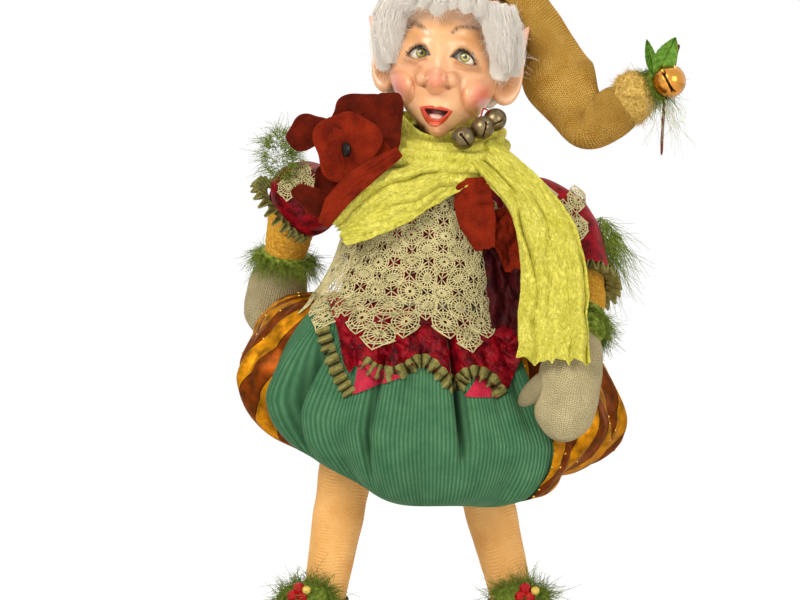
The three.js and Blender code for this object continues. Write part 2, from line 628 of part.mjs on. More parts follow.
const tipForm = (grow) =>
  ball(tipAt, HAT_TIP_WIDE + grow, HAT_TIP_DEEP + grow, HAT_TIP_HIGH + grow, 12, 8);
piece("hat_tail_end", cut(endForm(0), tipForm(GAP)), 0xc8994e);
piece("hat_tip", tipForm(0), 0xb08f55);

// Ribbon band on the hair, along the hat's brim.
const bandRing = shaped(new THREE.TorusGeometry(1, 1, 4, 18), (p) => {
  const angle = Math.atan2(p.y, p.x);
  const out = Math.hypot(p.x, p.y) - 1;
  const wide = HAIR_WIDE * 0.9 + (out + 0.5) * BAND_R;
  const deep = HAIR_DEEP * 0.9 + (out + 0.5) * BAND_R;
  p.set(wide * Math.cos(angle), deep * Math.sin(angle), p.z * BAND_R);
  p.applyAxisAngle(X_AXIS, -rad(BRIM_TILT)).add(at(1, 21, 74.5));
});
const capRoom = capForm(2 * GAP).subtract(brimCut(-2 * GAP));
const hairRoom = inHead(hairForm(GAP).add(ears(GAP)));
const band = cut(inHead(bandRing), hairRoom, inHead(capRoom), tailForm(2 * GAP));
piece("hat_band", band, 0x9a5a1c, 0.6);

// Jingle bells: a slotted shell with a loose pea.
function bell(name, centre, r, colour, facing) {
  const inner = r - BELL_WALL;
  const shell = ball(centre, r, r, r, 10, 6).subtract(ball(centre, inner, inner, inner, 6, 4));
  const front = centre.clone().addScaledVector(facing, r);
  const slotAcross = at(0.35, 0, 0.94);
  const low = front.clone().addScaledVector(slotAcross, -r * 0.6);
  const high = front.clone().addScaledVector(slotAcross, r * 0.6);
  const deep = facing.clone().multiplyScalar(-r * 0.55);
  const slot = union([
    rod(low.clone().sub(deep), low.clone().add(deep), BELL_SLOT, 5),
    rod(high.clone().sub(deep), high.clone().add(deep), BELL_SLOT, 5),
    swell(straight(front.clone().sub(deep), front.clone().add(deep)), () => BELL_SLOT / 2, () => r * 0.6, {
      sides: 4,
      steps: 1,
      lean: slotAcross,
    }),
  ]);
  const pea = r * 0.36;
  piece(name, cut(shell, slot), colour, 0.3, 0.9);
  const rest = centre.clone().addScaledVector(Z_AXIS, -(r - BELL_WALL - pea - GAP - 0.35));
  piece(`${name}_pea`, ball(rest, pea, pea, pea, 6, 4), 0x8d8d8d, 0.3, 0.9);
}
const hatBellAt = at(157, -10, 366);
bell("hat_bell", hatBellAt, HAT_BELL_R, 0xd98e2c, at(0, -1, 0));

// Trim at the hat's tip: a moss tuft that carries the bell, two leaves and a twig.
const mossForm = (grow) => ball(at(150, -2, 364), 10 + grow, 8 + grow, 11 + grow);
const bellForm = ball(hatBellAt, HAT_BELL_R + GAP, HAT_BELL_R + GAP, HAT_BELL_R + GAP, 10, 6);
const tipRoom = tipForm(GAP);
piece("hat_moss", cut(mossForm(0), bellForm, tipRoom), 0x3f5a22);
const leaf = (from, to, half) =>
  swell(straight(from, to), evenly([1.5, half, half, 0.8]), () => 0.9, { sides: 6, steps: 4 });
const leaves = leaf(at(149, -4, 369), at(161, -8, 394), 7).add(leaf(at(149, -4, 369), at(144, -3, 392), 3.5));
piece("hat_leaves", cut(leaves, mossForm(GAP), bellForm, tipRoom), 0x5fa522, 0.5);
const twigLine = smooth(at(164, -2, 390), at(160, 0, 372), at(155, 0, 352), at(153, -2, 318));
const twig = swell(twigLine, () => TWIG_R, () => TWIG_R, { sides: 6, steps: 8 });
piece("hat_twig", cut(twig, mossForm(GAP), bellForm, tipRoom), 0x6b3a33);

// Scarf: a wrap round the neck, low in front, a short end across the chest and a long end to the hand.
const headRoom = [-HEAD_TURN, 0, HEAD_TURN].map((angle) =>
  turned(inHead(union([headForm(TURN_GAP + 1, 12, 9), neckForm])), neck, Z_AXIS, angle),
);
function wrapCentre(angle) {
  const right = Math.cos(angle);
  const back = Math.sin(angle);
  return at(NECK_X + 5 + 33 * right, -5 + 30 * back, 322 + 8 * back + 2 * right);
}
const wrapForm = (grow) => loop(wrapCentre, SCARF_R + grow, SCARF_HIGH + grow, { around: 18, sides: 7 });
const bodyRoom = union([torsoForm(CLOTH + 2 * GAP), shawlForm(LACE + GAP)]);
piece("scarf_wrap", cut(wrapForm(0), bodyRoom, ...headRoom), 0xcbcb45);
const folds = (amount, count) => (across, t) => amount * Math.sin(count * across * Math.PI + 2 * t);
const shortLine = smooth(at(24, -40, 310), at(-14, -45, 293), at(-40, -42, 277), at(-58, -39, 268));
const shortFolds = folds(1.2, 1.5);
const shortForm = (grow) =>
  swell(shortLine, evenly(SCARF_SHORT_HALF_WIDTH), () => SCARF_T, {
    sides: 10,
    steps: 6,
    ripple: shortFolds,
    grow,
  });
piece("scarf_short_end", cut(shortForm(0), wrapForm(GAP), bodyRoom), 0xcbcb45);
const longLine = smooth(
  at(36, -32, 320), at(66, -50, 290), at(79, -64, 258), at(79, -86, 220), at(78, -101, 190),
);
const longFolds = folds(1.6, 2);
const longForm = (grow) =>
  swell(longLine, evenly(SCARF_LONG_HALF_WIDTH), () => SCARF_T, {
    sides: 12,
    steps: 7,
    ripple: longFolds,
    grow,
  });
piece("scarf_long_end", cut(longForm(0), wrapForm(GAP), bodyRoom), 0xcbcb45);

// Neck bells on one cord.
const bellSpots = [at(24, -46, 329.4), at(36.1, -41.8, 335.9), at(44.2, -31.4, 340.9)];
const bellFacing = at(0.2, -0.94, -0.28).normalize();
bellSpots.forEach((spot, i) => bell(`neck_bell_${i + 1}`, spot, NECK_BELL_R, 0x6e6248, bellFacing));

// Felt flower on the right shoulder: overlapping round petals and a dark eyelet.
const flowerAt = at(-50, -46, 322);
const petal = (degrees, reach, r, dip) => {
  const spot = flowerAt.clone().add(at(reach * Math.cos(rad(degrees)), dip, reach * Math.sin(rad(degrees))));
  return shaped(new THREE.SphereGeometry(1, 9, 4).rotateX(Math.PI / 2), (p) => {
    const cup = 4 * (p.x * p.x + p.z * p.z);
    p.set(spot.x + p.x * r, spot.y + p.y * PETAL_T + cup - 2, spot.z + p.z * r);
  });
};
const flowerForm = union([
  petal(70, 6, PETAL_R, -2),
  petal(155, 18, 17, 2),
  petal(215, 20, 16, 3),
  petal(275, 21, 17, 2),
  petal(345, 18, 16, 3),
]);
const wrapRoom = wrapForm(GAP);
const sleeveRoom = block(at(-FAR, -31, 200), at(-62, 90, 340));
const flower = cut(flowerForm, bodyRoom, wrapRoom, shortForm(2 * GAP), sleeveRoom, ...headRoom);
const eyeletAt = flowerAt.clone().add(at(0, -5.5, 0));
const eyeletForm = (grow) => ball(eyeletAt, EYELET_R * 0.6 + grow, 3 + grow, EYELET_R + grow, 8, 6);
piece("flower", cut(flower, eyeletForm(GAP)), 0x8c2a12);
piece("flower_eyelet", eyeletForm(0), 0x111111, 0.4);

// Felt ribbon petals on the chest.
const ribbonFolds = folds(0.8, 1);
const ribbon = (points, widths, grow) =>
  swell(smooth(...points), evenly(widths), () => 1.4, { sides: 8, steps: 4, ripple: ribbonFolds, grow });
const ribbonA = (grow) =>
  ribbon([at(30, -34.3, 304), at(33, -34.3, 286), at(37, -34.3, 264)], [8, 11, 11, 9], grow);
const ribbonB = ribbon([at(46, -27.9, 296), at(51, -24.9, 274), at(53, -27.9, 248)], [6, 9, 10, 8], 0);
const chestRoom = [bodyRoom, wrapRoom, shortForm(GAP), longForm(GAP)];
piece("ribbon_petal_1", cut(ribbonA(0), ...chestRoom), 0x8c2a12);
piece("ribbon_petal_2", cut(ribbonB, ...chestRoom, ribbonA(GAP)), 0x8c2a12);

// The origin is the middle of the part's box, on the floor.
const box = new THREE.Box3().setFromObject(doll);
const middle = box.getCenter(new THREE.Vector3());
doll.position.set(-middle.x, -middle.y, -box.min.z);
doll.updateMatrixWorld(true);

export default doll;
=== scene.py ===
# %% [markdown]
# # An elf doll
# The doll has a painted cast face, loose white hair and many layers of cloth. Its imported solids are
# loaded first and stay fixed: every visible piece below is made in their frame, in metres, so nothing
# has to be fitted afterwards. The places are easier to read in millimetres from the doll's own middle,
# so one function turns those into the frame's metres and another turns them back.

# %% Load the solids and set up the frame
import itertools
import json
import math

import bmesh
import bpy
import numpy as np
from mathutils import Matrix, Vector
from mathutils.bvhtree import BVHTree


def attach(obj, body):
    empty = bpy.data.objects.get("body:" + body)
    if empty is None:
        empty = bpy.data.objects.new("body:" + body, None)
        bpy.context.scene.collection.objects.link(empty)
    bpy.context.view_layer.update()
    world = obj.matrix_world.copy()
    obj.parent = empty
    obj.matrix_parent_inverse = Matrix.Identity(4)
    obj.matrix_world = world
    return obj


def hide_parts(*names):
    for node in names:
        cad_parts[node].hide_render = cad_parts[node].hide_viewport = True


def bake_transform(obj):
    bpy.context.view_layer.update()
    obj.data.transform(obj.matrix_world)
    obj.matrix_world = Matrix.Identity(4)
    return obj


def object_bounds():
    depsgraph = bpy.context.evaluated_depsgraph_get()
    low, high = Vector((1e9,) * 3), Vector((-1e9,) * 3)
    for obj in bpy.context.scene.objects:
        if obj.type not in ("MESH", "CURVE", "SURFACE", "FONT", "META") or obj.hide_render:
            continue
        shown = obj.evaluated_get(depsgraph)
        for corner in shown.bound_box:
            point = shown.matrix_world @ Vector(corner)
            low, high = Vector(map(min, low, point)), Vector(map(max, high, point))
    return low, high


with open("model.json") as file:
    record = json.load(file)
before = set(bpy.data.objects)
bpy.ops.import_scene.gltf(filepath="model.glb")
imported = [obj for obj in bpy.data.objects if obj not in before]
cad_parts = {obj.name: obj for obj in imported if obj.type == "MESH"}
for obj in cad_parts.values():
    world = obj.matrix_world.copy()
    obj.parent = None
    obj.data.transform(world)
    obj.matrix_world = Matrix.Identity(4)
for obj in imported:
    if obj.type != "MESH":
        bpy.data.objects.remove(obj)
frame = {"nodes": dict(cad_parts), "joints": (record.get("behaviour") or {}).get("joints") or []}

CAD_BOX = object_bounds()
MM = 0.001
NECK = np.array([4.0, 0.0, 325.0])
JOINTS = {joint["name"]: np.array(joint["pos_m"]) for joint in frame["joints"]}
ORIGIN = JOINTS["head_turn"] - NECK * MM


def metres(points):
    return ORIGIN + np.asarray(points, float) * MM


def millimetres(spots):
    return (np.asarray(spots, float) - ORIGIN) / MM


print("solids:", len(frame["nodes"]), "box:", [round(c, 3) for c in CAD_BOX[1]])

# %% [markdown]
# ## Camera, light and floor
# The photograph was taken from straight in front with a long lens, a little above the doll's waist, so
# a camera two metres away shows the same flat perspective. The picture is 0.52 m wide at the doll.
# Large soft lamps give the even light of a studio. The camera, reflections and clear materials see the
# world as plain white. All other rays see a dimmer warm white, so the background doesn't flood the doll
# with light.

# %% Camera
VIEW_WIDTH = 0.52
DISTANCE = 2.0
ELEVATION = math.radians(3)
SENSOR = 36.0
target = Vector(metres([-16.25, 0, 224.25]))
camera_data = bpy.data.cameras.new("camera")
camera_data.sensor_width = SENSOR
camera_data.lens = SENSOR * DISTANCE / VIEW_WIDTH
camera = bpy.data.objects.new("camera", camera_data)
bpy.context.scene.collection.objects.link(camera)
camera.location = target + DISTANCE * Vector((0, -math.cos(ELEVATION), math.sin(ELEVATION)))
camera.rotation_euler = (target - camera.location).to_track_quat("-Z", "Y").to_euler()
bpy.context.scene.camera = camera
bpy.context.scene.view_settings.view_transform = "Standard"
print("lens:", round(camera_data.lens, 1), "mm")

# %% Colours and nodes


def linear(code):
    """An sRGB hex colour as linear red, green, blue and alpha."""
    values = [int(code[i:i + 2], 16) / 255 for i in (1, 3, 5)]
    return (*[v / 12.92 if v <= 0.04045 else ((v + 0.055) / 1.055) ** 2.4 for v in values], 1.0)


def fill(tree, made, inputs):
    """Fills a node's inputs with values, or links them to other nodes' outputs."""
    for socket, value in inputs.items():
        if isinstance(value, bpy.types.NodeSocket):
            tree.links.new(value, made.inputs[socket])
        else:
            made.inputs[socket].default_value = value


def node(tree, kind, inputs=None, **settings):
    """Adds a node, sets its properties, and fills or links its inputs."""
    made = tree.nodes.new(kind)
    for name, value in settings.items():
        setattr(made, name, value)
    fill(tree, made, inputs or {})
    return made


def maths(tree, operation, *inputs, **settings):
    """Adds a maths node over its inputs, in their order, and gives its output."""
    settings["operation"] = operation
    return node(tree, "ShaderNodeMath", dict(enumerate(inputs)), **settings).outputs[0]


def mixed_shader(tree, share, first, second):
    inputs = {0: share, 1: first.outputs[0], 2: second.outputs[0]}
    return node(tree, "ShaderNodeMixShader", inputs).outputs[0]


print("node tools ready")

# %% Lamps and background


def lamp(name, place, watts, size):
    data = bpy.data.lights.new(name, "AREA")
    data.energy = watts
    data.color = linear("#FFF6E8")[:3]
    data.size = size
    light = bpy.data.objects.new(name, data)
    bpy.context.scene.collection.objects.link(light)
    light.location = place
    light.rotation_euler = (target - light.location).to_track_quat("-Z", "Y").to_euler()


lamp("key_lamp", (-1.0, -1.7, 1.5), 36, 1.0)
lamp("fill_lamp", (1.3, -1.6, 0.9), 15, 1.0)
lamp("top_lamp", (0.1, 0.8, 1.7), 15, 1.2)
lamp("table_lamp", (-0.1, -1.9, 0.12), 5, 0.8)

world = bpy.data.worlds.new("studio")
bpy.context.scene.world = world
world.use_nodes = True
tree = world.node_tree
tree.nodes.clear()
ray = node(tree, "ShaderNodeLightPath").outputs
seen = maths(tree, "MAXIMUM", ray["Is Camera Ray"], ray["Is Glossy Ray"])
seen = maths(tree, "MAXIMUM", seen, ray["Is Transmission Ray"])
glow = node(tree, "ShaderNodeBackground", {"Color": linear("#FFF9F0"), "Strength": 0.42})
paper = node(tree, "ShaderNodeBackground", {"Color": linear("#FFFFFF"), "Strength": 1.0})
node(tree, "ShaderNodeOutputWorld", {"Surface": mixed_shader(tree, seen, glow, paper)})

# %% Floor
FLOOR_HALF = 2.5
FLOOR_GAP = 0.0002
floor_mesh = bpy.data.meshes.new("floor")
bm = bmesh.new()
bmesh.ops.create_grid(bm, x_segments=1, y_segments=1, size=FLOOR_HALF)
bmesh.ops.translate(bm, verts=bm.verts, vec=(0, 0, float(CAD_BOX[0][2]) - FLOOR_GAP))
bm.to_mesh(floor_mesh)
bm.free()
floor = bpy.data.objects.new("floor", floor_mesh)
bpy.context.scene.collection.objects.link(floor)
paper_floor = bpy.data.materials.new("matt white paper sweep")
paper_floor.use_nodes = True
tree = paper_floor.node_tree
tree.nodes.clear()
sheet = node(tree, "ShaderNodeBsdfDiffuse", {"Color": linear("#F4F4F4")})
shine = node(tree, "ShaderNodeEmission", {"Color": linear("#FFFFFF"), "Strength": 1.08})
share = maths(tree, "MULTIPLY", node(tree, "ShaderNodeLightPath").outputs["Is Camera Ray"], 0.88)
node(tree, "ShaderNodeOutputMaterial", {"Surface": mixed_shader(tree, share, sheet, shine)})
floor_mesh.materials.append(paper_floor)
print("floor at", round(float(CAD_BOX[0][2]), 4), "m")

# %% [markdown]
# ## Tools for cloth
# Nearly every piece is cloth, so one function does most of the work: it makes a flat grid with a UV
# map, as cloth is before it is sewn, and moves each point to where that bit of cloth lies on the doll.
# The place comes from a few smooth curves, and crumples come from a smooth random function. Threads
# and hairs are curves with a thin four-sided section, made into a mesh at the end.

# %% Smooth curves and crumples


def spline(stops, t):
    """Smooth values, or points, through evenly spaced stops; t runs from 0 to 1."""
    stops = np.asarray(stops, float)
    last = len(stops) - 1
    spot = np.clip(t, 0, 1) * last
    index = np.minimum(spot.astype(int), last - 1)
    f = (spot - index).reshape((-1,) + (1,) * (stops.ndim - 1))
    ends = np.concatenate([[2 * stops[0] - stops[1]], stops, [2 * stops[-1] - stops[-2]]])
    a, b, c, d = (ends[index + k] for k in range(4))
    bend = (2 * a - 5 * b + 4 * c - d) * f ** 2
    return 0.5 * (2 * b + (c - a) * f + bend + (3 * b - a - 3 * c + d) * f ** 3)


def crumple(points, size, seed=0):
    """Smooth random values from -1 to 1 that change over the given size."""
    spot = np.asarray(points, float) / size
    cell = np.floor(spot)
    f = spot - cell
    f = f * f * (3 - 2 * f)
    keys = np.array([127.1, 311.7, 74.7])[:spot.shape[1]]
    total = np.zeros(len(spot))
    for corner in itertools.product((0, 1), repeat=spot.shape[1]):
        weight = np.prod(np.where(np.array(corner) == 1, f, 1 - f), axis=1)
        total += weight * ((np.sin((cell + corner) @ keys + seed * 17.3) * 43758.5453) % 1)
    return 2 * total - 1


def ruffle(a, b, seed, size=1.0):
    """A crumple over two coordinates."""
    return crumple(np.stack([a, b], 1), size, seed)


def ring_noise(u, v, round_count, along_count, seed):
    """A crumple over a tube that meets itself at the seam."""
    reach = round_count / (2 * np.pi)
    turn = 2 * np.pi * u
    ring = [np.sin(turn) * reach, np.cos(turn) * reach, v * along_count]
    return crumple(np.stack(ring, 1), 1.0, seed)


def unit(vectors):
    return vectors / np.maximum(np.linalg.norm(vectors, axis=-1, keepdims=True), 1e-9)


def bump_at(x, z, centre_x, centre_z, wide, high):
    """A soft round hill in the front view, 1 at its middle."""
    return np.exp(-((x - centre_x) / wide) ** 2 - ((z - centre_z) / high) ** 2)


def round_line(u, v, line, side, depth, lean=(0, 1, 0)):
    """Points on a limb: u goes once round it and v runs along its centre line."""
    centre = spline(line, v)
    ahead = unit(spline(line, np.clip(v + 0.01, 0, 1)) - spline(line, np.clip(v - 0.01, 0, 1)))
    lean = np.asarray(lean, float)
    back = unit(lean - ahead * (ahead @ lean)[:, None])
    across = np.cross(ahead, back)
    turn = 2 * np.pi * u
    return centre + across * (np.sin(turn) * side)[:, None] + back * (np.cos(turn) * depth)[:, None]


def ball_ways(u, polar, pole, across, rise):
    """Directions on a ball: polar is the angle from its pole and u goes once round it."""
    polar, turn = polar[:, None], (2 * np.pi * u)[:, None]
    return pole * np.cos(polar) + (across * np.sin(turn) + rise * np.cos(turn)) * np.sin(polar)


def dome(v, start, end):
    """A factor that closes a limb roundly at its first and last part."""
    first = np.clip(v / start, 0, 1) if start else np.ones_like(v)
    last = np.clip((1 - v) / end, 0, 1) if end else np.ones_like(v)
    return np.sqrt(1 - (1 - first) ** 2) * np.sqrt(1 - (1 - last) ** 2)


print("curves ready")

# %% Pieces, cloth grids and threads


def make_piece(mesh, body, finish, replaces=()):
    """Makes an object with the mesh's name that rides on a body and hides the solids it replaces."""
    piece = bpy.data.objects.new(mesh.name, mesh)
    bpy.context.scene.collection.objects.link(piece)
    mesh.materials.append(finish)
    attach(piece, body)
    if replaces:
        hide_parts(*replaces)
    return piece


def refinish(solid, finish):
    """Gives a solid that stays visible its own finish."""
    materials = frame["nodes"][solid].data.materials
    materials.clear()
    materials.append(finish)


def smooth_mesh(name, bm):
    """Turns a bmesh into a smoothly shaded mesh and frees it."""
    mesh = bpy.data.meshes.new(name)
    bm.to_mesh(mesh)
    bm.free()
    mesh.polygons.foreach_set("use_smooth", [True] * len(mesh.polygons))
    return mesh


def cloth(name, across, along, place, inside=None, closed=False, cut=(1, 1)):
    """A grid mesh with a UV map whose points place(u, v) puts on the doll, in millimetres.

    closed joins the seam and the poles; inside is a point behind the cloth; cut scales the UV map.
    """
    bm = bmesh.new()
    uv_layer = bm.loops.layers.uv.new("UVMap")
    bmesh.ops.create_grid(bm, x_segments=across, y_segments=along, size=0.5, calc_uvs=True)
    flat = np.array([vert.co[:2] for vert in bm.verts]) + 0.5
    for vert, spot in zip(bm.verts, metres(place(flat[:, 0], flat[:, 1]))):
        vert.co = spot
    for loop in (loop for f in bm.faces for loop in f.loops):
        loop[uv_layer].uv = (loop[uv_layer].uv.x * cut[0], loop[uv_layer].uv.y * cut[1])
    if closed:
        bmesh.ops.remove_doubles(bm, verts=bm.verts, dist=2e-6)
        bmesh.ops.dissolve_degenerate(bm, dist=1e-7, edges=bm.edges)
    if inside is None:
        bmesh.ops.recalc_face_normals(bm, faces=bm.faces)
    else:
        bm.normal_update()
        core = Vector(metres(inside))
        facing = sum((f.calc_center_median() - core).dot(f.normal) * f.calc_area() for f in bm.faces)
        if facing < 0:
            bmesh.ops.reverse_faces(bm, faces=bm.faces)
    return smooth_mesh(name, bm)


def round_balls(name, centres, radius, rounds):
    """Balls of one radius in millimetres, round centres in the frame's metres, as one mesh."""
    bm = bmesh.new()
    for spot in centres:
        bmesh.ops.create_icosphere(bm, subdivisions=rounds, radius=radius * MM,
                                   matrix=Matrix.Translation(spot))
    return smooth_mesh(name, bm)


def give_wall(piece, thick, rounds=0):
    """Gives a single sheet its thickness in millimetres, and rounds its edges by subdivision."""
    wall = piece.modifiers.new("wall", "SOLIDIFY")
    wall.thickness = thick * MM
    wall.offset = 0
    if rounds:
        rounder = piece.modifiers.new("round", "SUBSURF")
        rounder.levels = rounder.render_levels = rounds


def threads(name, paths, thick, tip=0.35, root=1.0):
    """Four-sided threads, in millimetres, that thin towards their tips, as one mesh."""
    line = bpy.data.curves.new(name, "CURVE")
    line.dimensions = "3D"
    line.bevel_depth = thick / 2 * MM
    line.bevel_resolution = 0
    for path in paths:
        strand = line.splines.new("POLY")
        strand.points.add(len(path) - 1)
        spots = np.ones((len(path), 4), np.float32)
        spots[:, :3] = metres(path)
        strand.points.foreach_set("co", spots.ravel())
        strand.points.foreach_set("radius", np.linspace(root, tip, len(path), dtype=np.float32))
    carrier = bpy.data.objects.new(name + "_line", line)
    bpy.context.scene.collection.objects.link(carrier)
    mesh = bpy.data.meshes.new_from_object(carrier.evaluated_get(bpy.context.evaluated_depsgraph_get()))
    bpy.data.objects.remove(carrier)
    bpy.data.curves.remove(line)
    mesh.name = name
    mesh.polygons.foreach_set("use_smooth", [True] * len(mesh.polygons))
    mesh.materials.clear()
    return mesh


print("cloth tools ready")

# %% Softened solids and loose fibres


def softened(name, solid, voxel, passes):
    """A copy of a solid with rounded edges: joined, remeshed evenly and smoothed."""
    bm = bmesh.new()
    bm.from_mesh(frame["nodes"][solid].data)
    bmesh.ops.remove_doubles(bm, verts=bm.verts, dist=1e-6)
    rough = bpy.data.meshes.new(name)
    bm.to_mesh(rough)
    bm.free()
    copy = bpy.data.objects.new(name + "_copy", rough)
    bpy.context.scene.collection.objects.link(copy)
    even = copy.modifiers.new("even", "REMESH")
    even.mode = "VOXEL"
    even.voxel_size = voxel * MM
    even.use_smooth_shade = True
    rounder = copy.modifiers.new("round", "SMOOTH")
    rounder.iterations = passes
    mesh = bpy.data.meshes.new_from_object(copy.evaluated_get(bpy.context.evaluated_depsgraph_get()))
    bpy.data.objects.remove(copy)
    bpy.data.meshes.remove(rough)
    mesh.name = name
    return mesh


def mesh_spots(mesh):
    return np.array([v.co for v in mesh.vertices])


def scattered(mesh, count, rng):
    """Random points on a mesh and its normals there, in the doll's millimetres."""
    mesh.calc_loop_triangles()
    corners = mesh_spots(mesh)[np.array([t.vertices for t in mesh.loop_triangles])]
    cross = np.cross(corners[:, 1] - corners[:, 0], corners[:, 2] - corners[:, 0])
    area = np.linalg.norm(cross, axis=1)
    pick = rng.choice(len(area), count, p=area / area.sum())
    a, b = rng.random((2, count, 1))
    flip = a + b > 1
    a, b = np.where(flip, 1 - a, a), np.where(flip, 1 - b, b)
    chosen = corners[pick]
    place = chosen[:, 0] + a * (chosen[:, 1] - chosen[:, 0]) + b * (chosen[:, 2] - chosen[:, 0])
    return millimetres(place), unit(cross[pick])


def wisps(roots, ways, length, curl, droop, steps, rng):
    """Loose fibres that leave their roots along ways, bend at random and droop."""
    count = len(roots)
    t = np.linspace(0, 1, steps)[None, :, None]
    lengths = (length * rng.uniform(0.55, 1.25, count))[:, None, None]
    bend = rng.normal(size=(count, 1, 3)) * curl
    twist = rng.normal(size=(count, 1, 3)) * curl * 0.5
    drop = np.array([0, 0, -droop])
    path = ways[:, None] * t + (bend + drop) * t ** 2 + twist * np.sin(5 * t) * t
    return roots[:, None] + lengths * path


print("fibre tools ready")

# %% [markdown]
# ## Finishes that several pieces share
# Cloth differs mostly in three things: how its colour varies from thread to thread, how its threads
# stand out, and how much light its loose fibres catch at a grazing angle, which is sheen. So one
# function sets up a cloth from those, and each cloth below adds its own threads to the height.

# %% Cloth finish


def new_finish(name):
    """A new material with its node tree and its surface shader."""
    made = bpy.data.materials.new(name)
    made.use_nodes = True
    return made, made.node_tree, made.node_tree.nodes["Principled BSDF"]


def cloud(tree, size, detail):
    """Smooth noise over the object, in lumps of about size millimetres."""
    where = node(tree, "ShaderNodeTexCoord").outputs["Object"]
    inputs = {"Vector": where, "Scale": 1 / (size * MM), "Detail": detail}
    return node(tree, "ShaderNodeTexNoise", inputs).outputs["Fac"]


def mixed(tree, share, first, second):
    """Mixes two colours: those sockets of a mix node are its inputs 6 and 7 and its output 2."""
    inputs = {0: share, 6: first, 7: second}
    return node(tree, "ShaderNodeMix", inputs, data_type="RGBA").outputs[2]


def shaded(tree, colour, share):
    """Makes a colour darker or lighter by a factor."""
    inputs = {0: colour, 1: share.outputs[0]}
    return node(tree, "ShaderNodeVectorMath", inputs, operation="MULTIPLY").outputs[0]


def cloth_finish(name, dark, light, patch=9.0, roughness=0.85, sheen=0.25, tint=None,
                 fibre=0.35, grit=0.25, spread=0.3):
    """A cloth whose colour drifts between two tones over patch millimetres, with fine fibre bumps.

    It returns the material, its node tree, the colour output, the height output and the shader.
    """
    made, tree, shader = new_finish(name)
    fine = cloud(tree, fibre * 2, 2.0)
    tone = maths(tree, "ADD", cloud(tree, patch, 4.0), fine)
    inputs = {"Value": tone, "From Min": 1 - spread, "From Max": 1 + spread}
    ramp = node(tree, "ShaderNodeValToRGB", {"Fac": node(tree, "ShaderNodeMapRange", inputs).outputs[0]})
    ramp.color_ramp.elements[0].color = linear(dark)
    ramp.color_ramp.elements[1].color = linear(light)
    colour = ramp.outputs["Color"]
    fill(tree, shader, {"Base Color": colour, "Roughness": roughness, "Specular IOR Level": 0.12,
                        "Sheen Weight": sheen, "Sheen Roughness": 0.45, "Sheen Tint": linear(tint or light)})
    return made, tree, colour, maths(tree, "MULTIPLY", fine, grit), shader


def raise_threads(tree, shader, height, depth):
    """Lets a height, times depth in millimetres, tilt the light on a surface."""
    relief = node(tree, "ShaderNodeBump", {"Height": height, "Distance": depth * MM, "Strength": 1.0})
    fill(tree, shader, {"Normal": relief.outputs[0]})


def plain_cloth(name, dark, light, depth, **settings):
    """A cloth with only its own fibres, raised by depth millimetres."""
    made, tree, _, height, shader = cloth_finish(name, dark, light, **settings)
    raise_threads(tree, shader, height, depth)
    return made


print("cloth finishes ready")

# %% Ribs, grooves and knitting


def flat_parts(tree):
    """The places across and along the flat cloth, from its UV map."""
    uv = node(tree, "ShaderNodeTexCoord").outputs["UV"]
    return node(tree, "ShaderNodeSeparateXYZ", {0: uv}).outputs


def stripes(tree, axis, count, turn=0.0):
    """A soft wave, 0 to 1, that repeats count times along one axis of the flat cloth."""
    wave = maths(tree, "MULTIPLY_ADD", flat_parts(tree)[axis], 2 * math.pi * count, turn)
    return maths(tree, "MULTIPLY_ADD", maths(tree, "SINE", wave), 0.5, 0.5)


def paint_groove_shade(tree, shader, colour, height, dark, share):
    """Paints shade: mixes a darker tone into the colour where the height is low, as in grooves and gaps."""
    low = maths(tree, "MULTIPLY", maths(tree, "SUBTRACT", 1.0, height), share, use_clamp=True)
    fill(tree, shader, {"Base Color": mixed(tree, low, colour, linear(dark))})


def knit_finish(name, dark, light, groove, wales, rows, depth):
    """A knitted cloth: V-shaped stitches in columns, counted across the UV map's width and length."""
    made, tree, colour, height, shader = cloth_finish(name, dark, light, patch=14, sheen=0.35, grit=0.12)
    across, along, _ = flat_parts(tree)
    column = maths(tree, "PINGPONG", maths(tree, "MULTIPLY", across, wales), 0.5)
    slant = maths(tree, "MULTIPLY", maths(tree, "MULTIPLY_ADD", along, rows, column), 2 * math.pi)
    stitch = maths(tree, "MULTIPLY_ADD", maths(tree, "SINE", slant), 0.3, 0.45)
    ridge = maths(tree, "COSINE", maths(tree, "MULTIPLY", column, 4 * math.pi))
    total = maths(tree, "ADD", stitch, maths(tree, "MULTIPLY_ADD", ridge, -0.25, 0.25))
    raise_threads(tree, shader, maths(tree, "ADD", total, height), depth)
    # Painted shade: the groove colour darkens the low places between the stitches.
    paint_groove_shade(tree, shader, colour, total, groove, 0.75)
    return made


print("knit and rib finishes ready")

# %% [markdown]
# ## Legs
# The legs are stuffed tubes of tan nylon. The stretched nylon lies in fine wavy rings about 2 mm apart,
# which are real ridges here: each ring of the grid is moved in or out a little.

# %% Nylon and legs
NYLON_RING = 2.1
nylon = plain_cloth(
    "stretched nylon", "#D99F57", "#F0C17F", patch=16, roughness=0.55, sheen=0.15, fibre=0.3, grit=0.15,
    depth=0.1)
HIPS = {"right": np.array([-40.0, 0, 178]), "left": np.array([20.0, 0, 178])}
FEET = {"right": np.array([-68.1, -2.25, 16]), "left": np.array([60.5, -2.25, 16])}
LEG_TOP_R = 19
LEG_R = [18, 18.5, 17, 15, 13.5]


